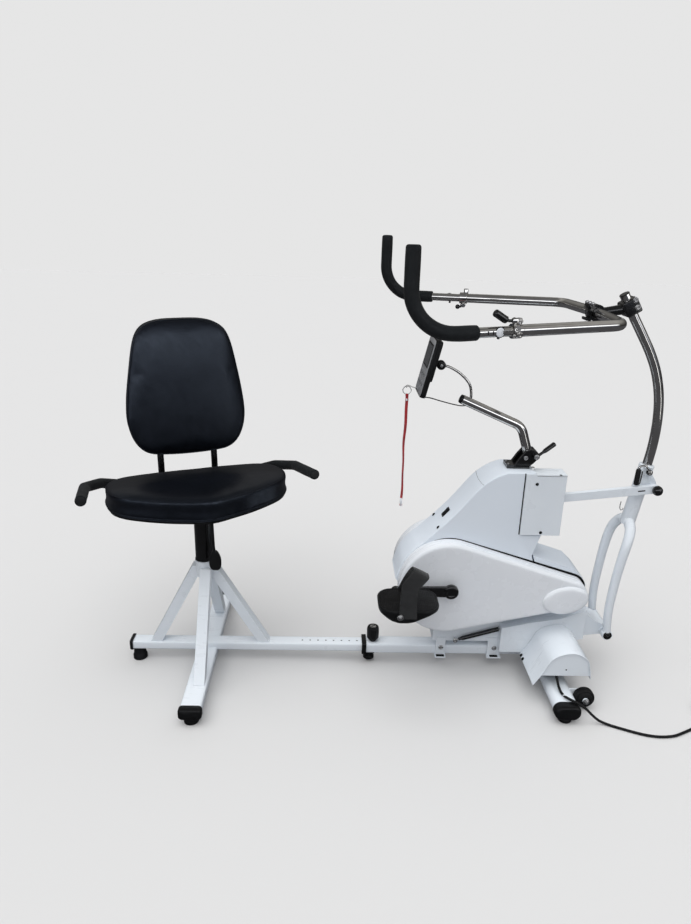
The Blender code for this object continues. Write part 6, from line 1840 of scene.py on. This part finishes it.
def piped(made, name, path, radius, sides=10):
    """A cord of vinyl sewn along the cushion's skin."""
    laid = []
    for point in path:
        found, spot, normal, index = made.closest_point_on_mesh(point + SHIFT)
        laid.append(spot - SHIFT + normal * radius * 0.45)
    for k in range(3):
        laid = [(laid[i - 1] + laid[i] * 2 + laid[(i + 1) % len(laid)]) / 4 for i in range(len(laid))]
    piece(name, ring_tube(laid, radius, sides), "seat", BLACK_VINYL, sharp=60)


def cushion_form(outline, layers, place):
    return loft([[place(a, b, level) for a, b in drawn_in(outline, drawn)] for level, drawn in layers])


def seat_pad():
    half = [(0, 0.15), (0.067, 0.13), (0.119, 0.109), (0.17, 0.081), (0.215, 0.049), (0.243, 0.01), (0.252, -0.04),
        (0.249, -0.085), (0.234, -0.12), (0.2, -0.141), (0.1, -0.15), (0, -0.151)]
    outline = closed_outline(half, 4)
    layers = [(CUSHION_Z, 0.012), (0.5095, 0.006), (0.516, 0.0035), (0.526, 0.006), (0.54, 0.0075), (0.554, 0.0055),
        (0.563, 0.005), (0.5695, 0.0095), (0.5745, 0.022), (0.5785, 0.048), (0.5815, 0.09), (0.583, 0.14)]

    def place(a, b, z):
        return seat_point(a, b, z + 0.1 * min(0.0, b) * max(0.0, z - 0.52) / 0.046)

    made = inflate("seat_pad", cushion_form(outline, layers, place), PAD_CAP, PAD_VOXEL, PAD_PRESSURE)
    upholster(made, "seat", "seat_cushion", [(RIGHT, -0.2505, 0.2505), (FORWARD, -0.15, 0.149),
        (Z_AXIS, CUSHION_Z - 0.001, 0.585)], flat_below=CUSHION_Z)
    for name, z, drawn, radius in (("low", 0.5125, 0.0, 0.0024), ("high", 0.5195, 0.0, 0.0022),
            ("rim", 0.5675, 0.0, 0.0013)):
        piped(made, f"seat_piping_{name}", [place(a, b, z) for a, b in drawn_in(outline, drawn)], radius)
    front = []
    for z, f in ((0.522, 0.1478), (0.53, 0.1465), (0.54, 0.146), (0.552, 0.1475), (0.562, 0.148), (0.569, 0.1445)):
        front.append(place(0.0, f, z))
    piece("seat_front_seam", tube(smooth(front, 5), 0.0013, 10, start=0.0008, end=0.0008), "seat", BLACK_VINYL,
        sharp=60)
    base = [[seat_point(a, b, z) for a, b in drawn_in(outline, drawn)] for z, drawn in ((CUSHION_Z + 0.0002, 0.016),
        (CUSHION_Z + 0.0002, 0.0052), (0.511, 0.004), (0.511, 0.012))]
    piece("seat_base_board", loft(base), "seat", BLACK_PLASTIC)


seat_pad()


# Backrest: black vinyl over foam, rounded at its top and broader below, held by the two back posts.
# A thin piping runs round its front and rear edges.
def back_pad():
    half = [(0, 0.6), (0.085, 0.602), (0.12, 0.61), (0.142, 0.628), (0.159, 0.658), (0.169, 0.7015), (0.1665, 0.748),
        (0.161, 0.7915), (0.151, 0.848), (0.138, 0.917), (0.121, 0.958), (0.093, 0.977), (0.055, 0.985), (0, 0.986)]
    middle = 0.79
    outline = closed_outline([(a, b - middle) for a, b in half], 4)
    layers = [(-0.027, 0.016), (-0.024, 0.008), (-0.019, 0.004), (-0.012, 0.0055), (0.0, 0.0065), (0.012, 0.005),
        (0.0185, 0.0045), (0.0245, 0.012), (0.029, 0.032), (0.0328, 0.066), (0.0358, 0.112)]

    def place(a, b, depth):
        z = middle + b
        return seat_point(a, -0.18 + depth - (z - 0.593) * BACK_LEAN, z)

    made = inflate("back_pad", cushion_form(outline, layers, place), PAD_CAP, PAD_VOXEL, PAD_PRESSURE)
    upholster(made, "seat", "back_cushion", [(RIGHT, -0.1685, 0.1685), (Z_AXIS, 0.6006, 0.9855)])
    for name, depth in (("front", 0.0175), ("rear", -0.0185)):
        piped(made, f"back_piping_{name}", [place(a, b, depth) for a, b in outline], 0.0016)


back_pad()


# Height lever: a black moulded oval paddle on a rod under the seat.
# Pulled up, it opens the gas spring.
def lever():
    top = xyz(-0.41, -0.05, 0.497)
    rod = tube([top, xyz(top.x + 0.002, top.y, 0.4), xyz(top.x + 0.004, top.y, 0.375)], 0.004, 24, start=0.001)
    middle = xyz(-0.405, top.y, 0.352)
    shape = smooth([(-0.027, 0, 0.007), (-0.024, 0, 0.0115), (-0.018, 0, 0.0152), (-0.005, 0, 0.0172),
        (0.01, 0, 0.0165), (0.022, 0, 0.013), (0.03, 0, 0.0088), (0.034, 0, 0.0055)], 4)
    rings = []
    for k, p in enumerate(shape):
        fade = min(1.0, k / 4, (len(shape) - 1 - k) / 4)
        thick = 0.0046 + 0.0026 * fade
        outline = round_rect((0, 0), 2 * p.z, thick, thick * 0.45, 5)
        rings.append([middle + xyz(x, y, p.x) for x, y in outline])
    piece("lever_paddle", merged(loft(rings), rod), "seat_lever", BLACK_PLASTIC, sharp=50, stands_for=["seat_lever"])


lever()
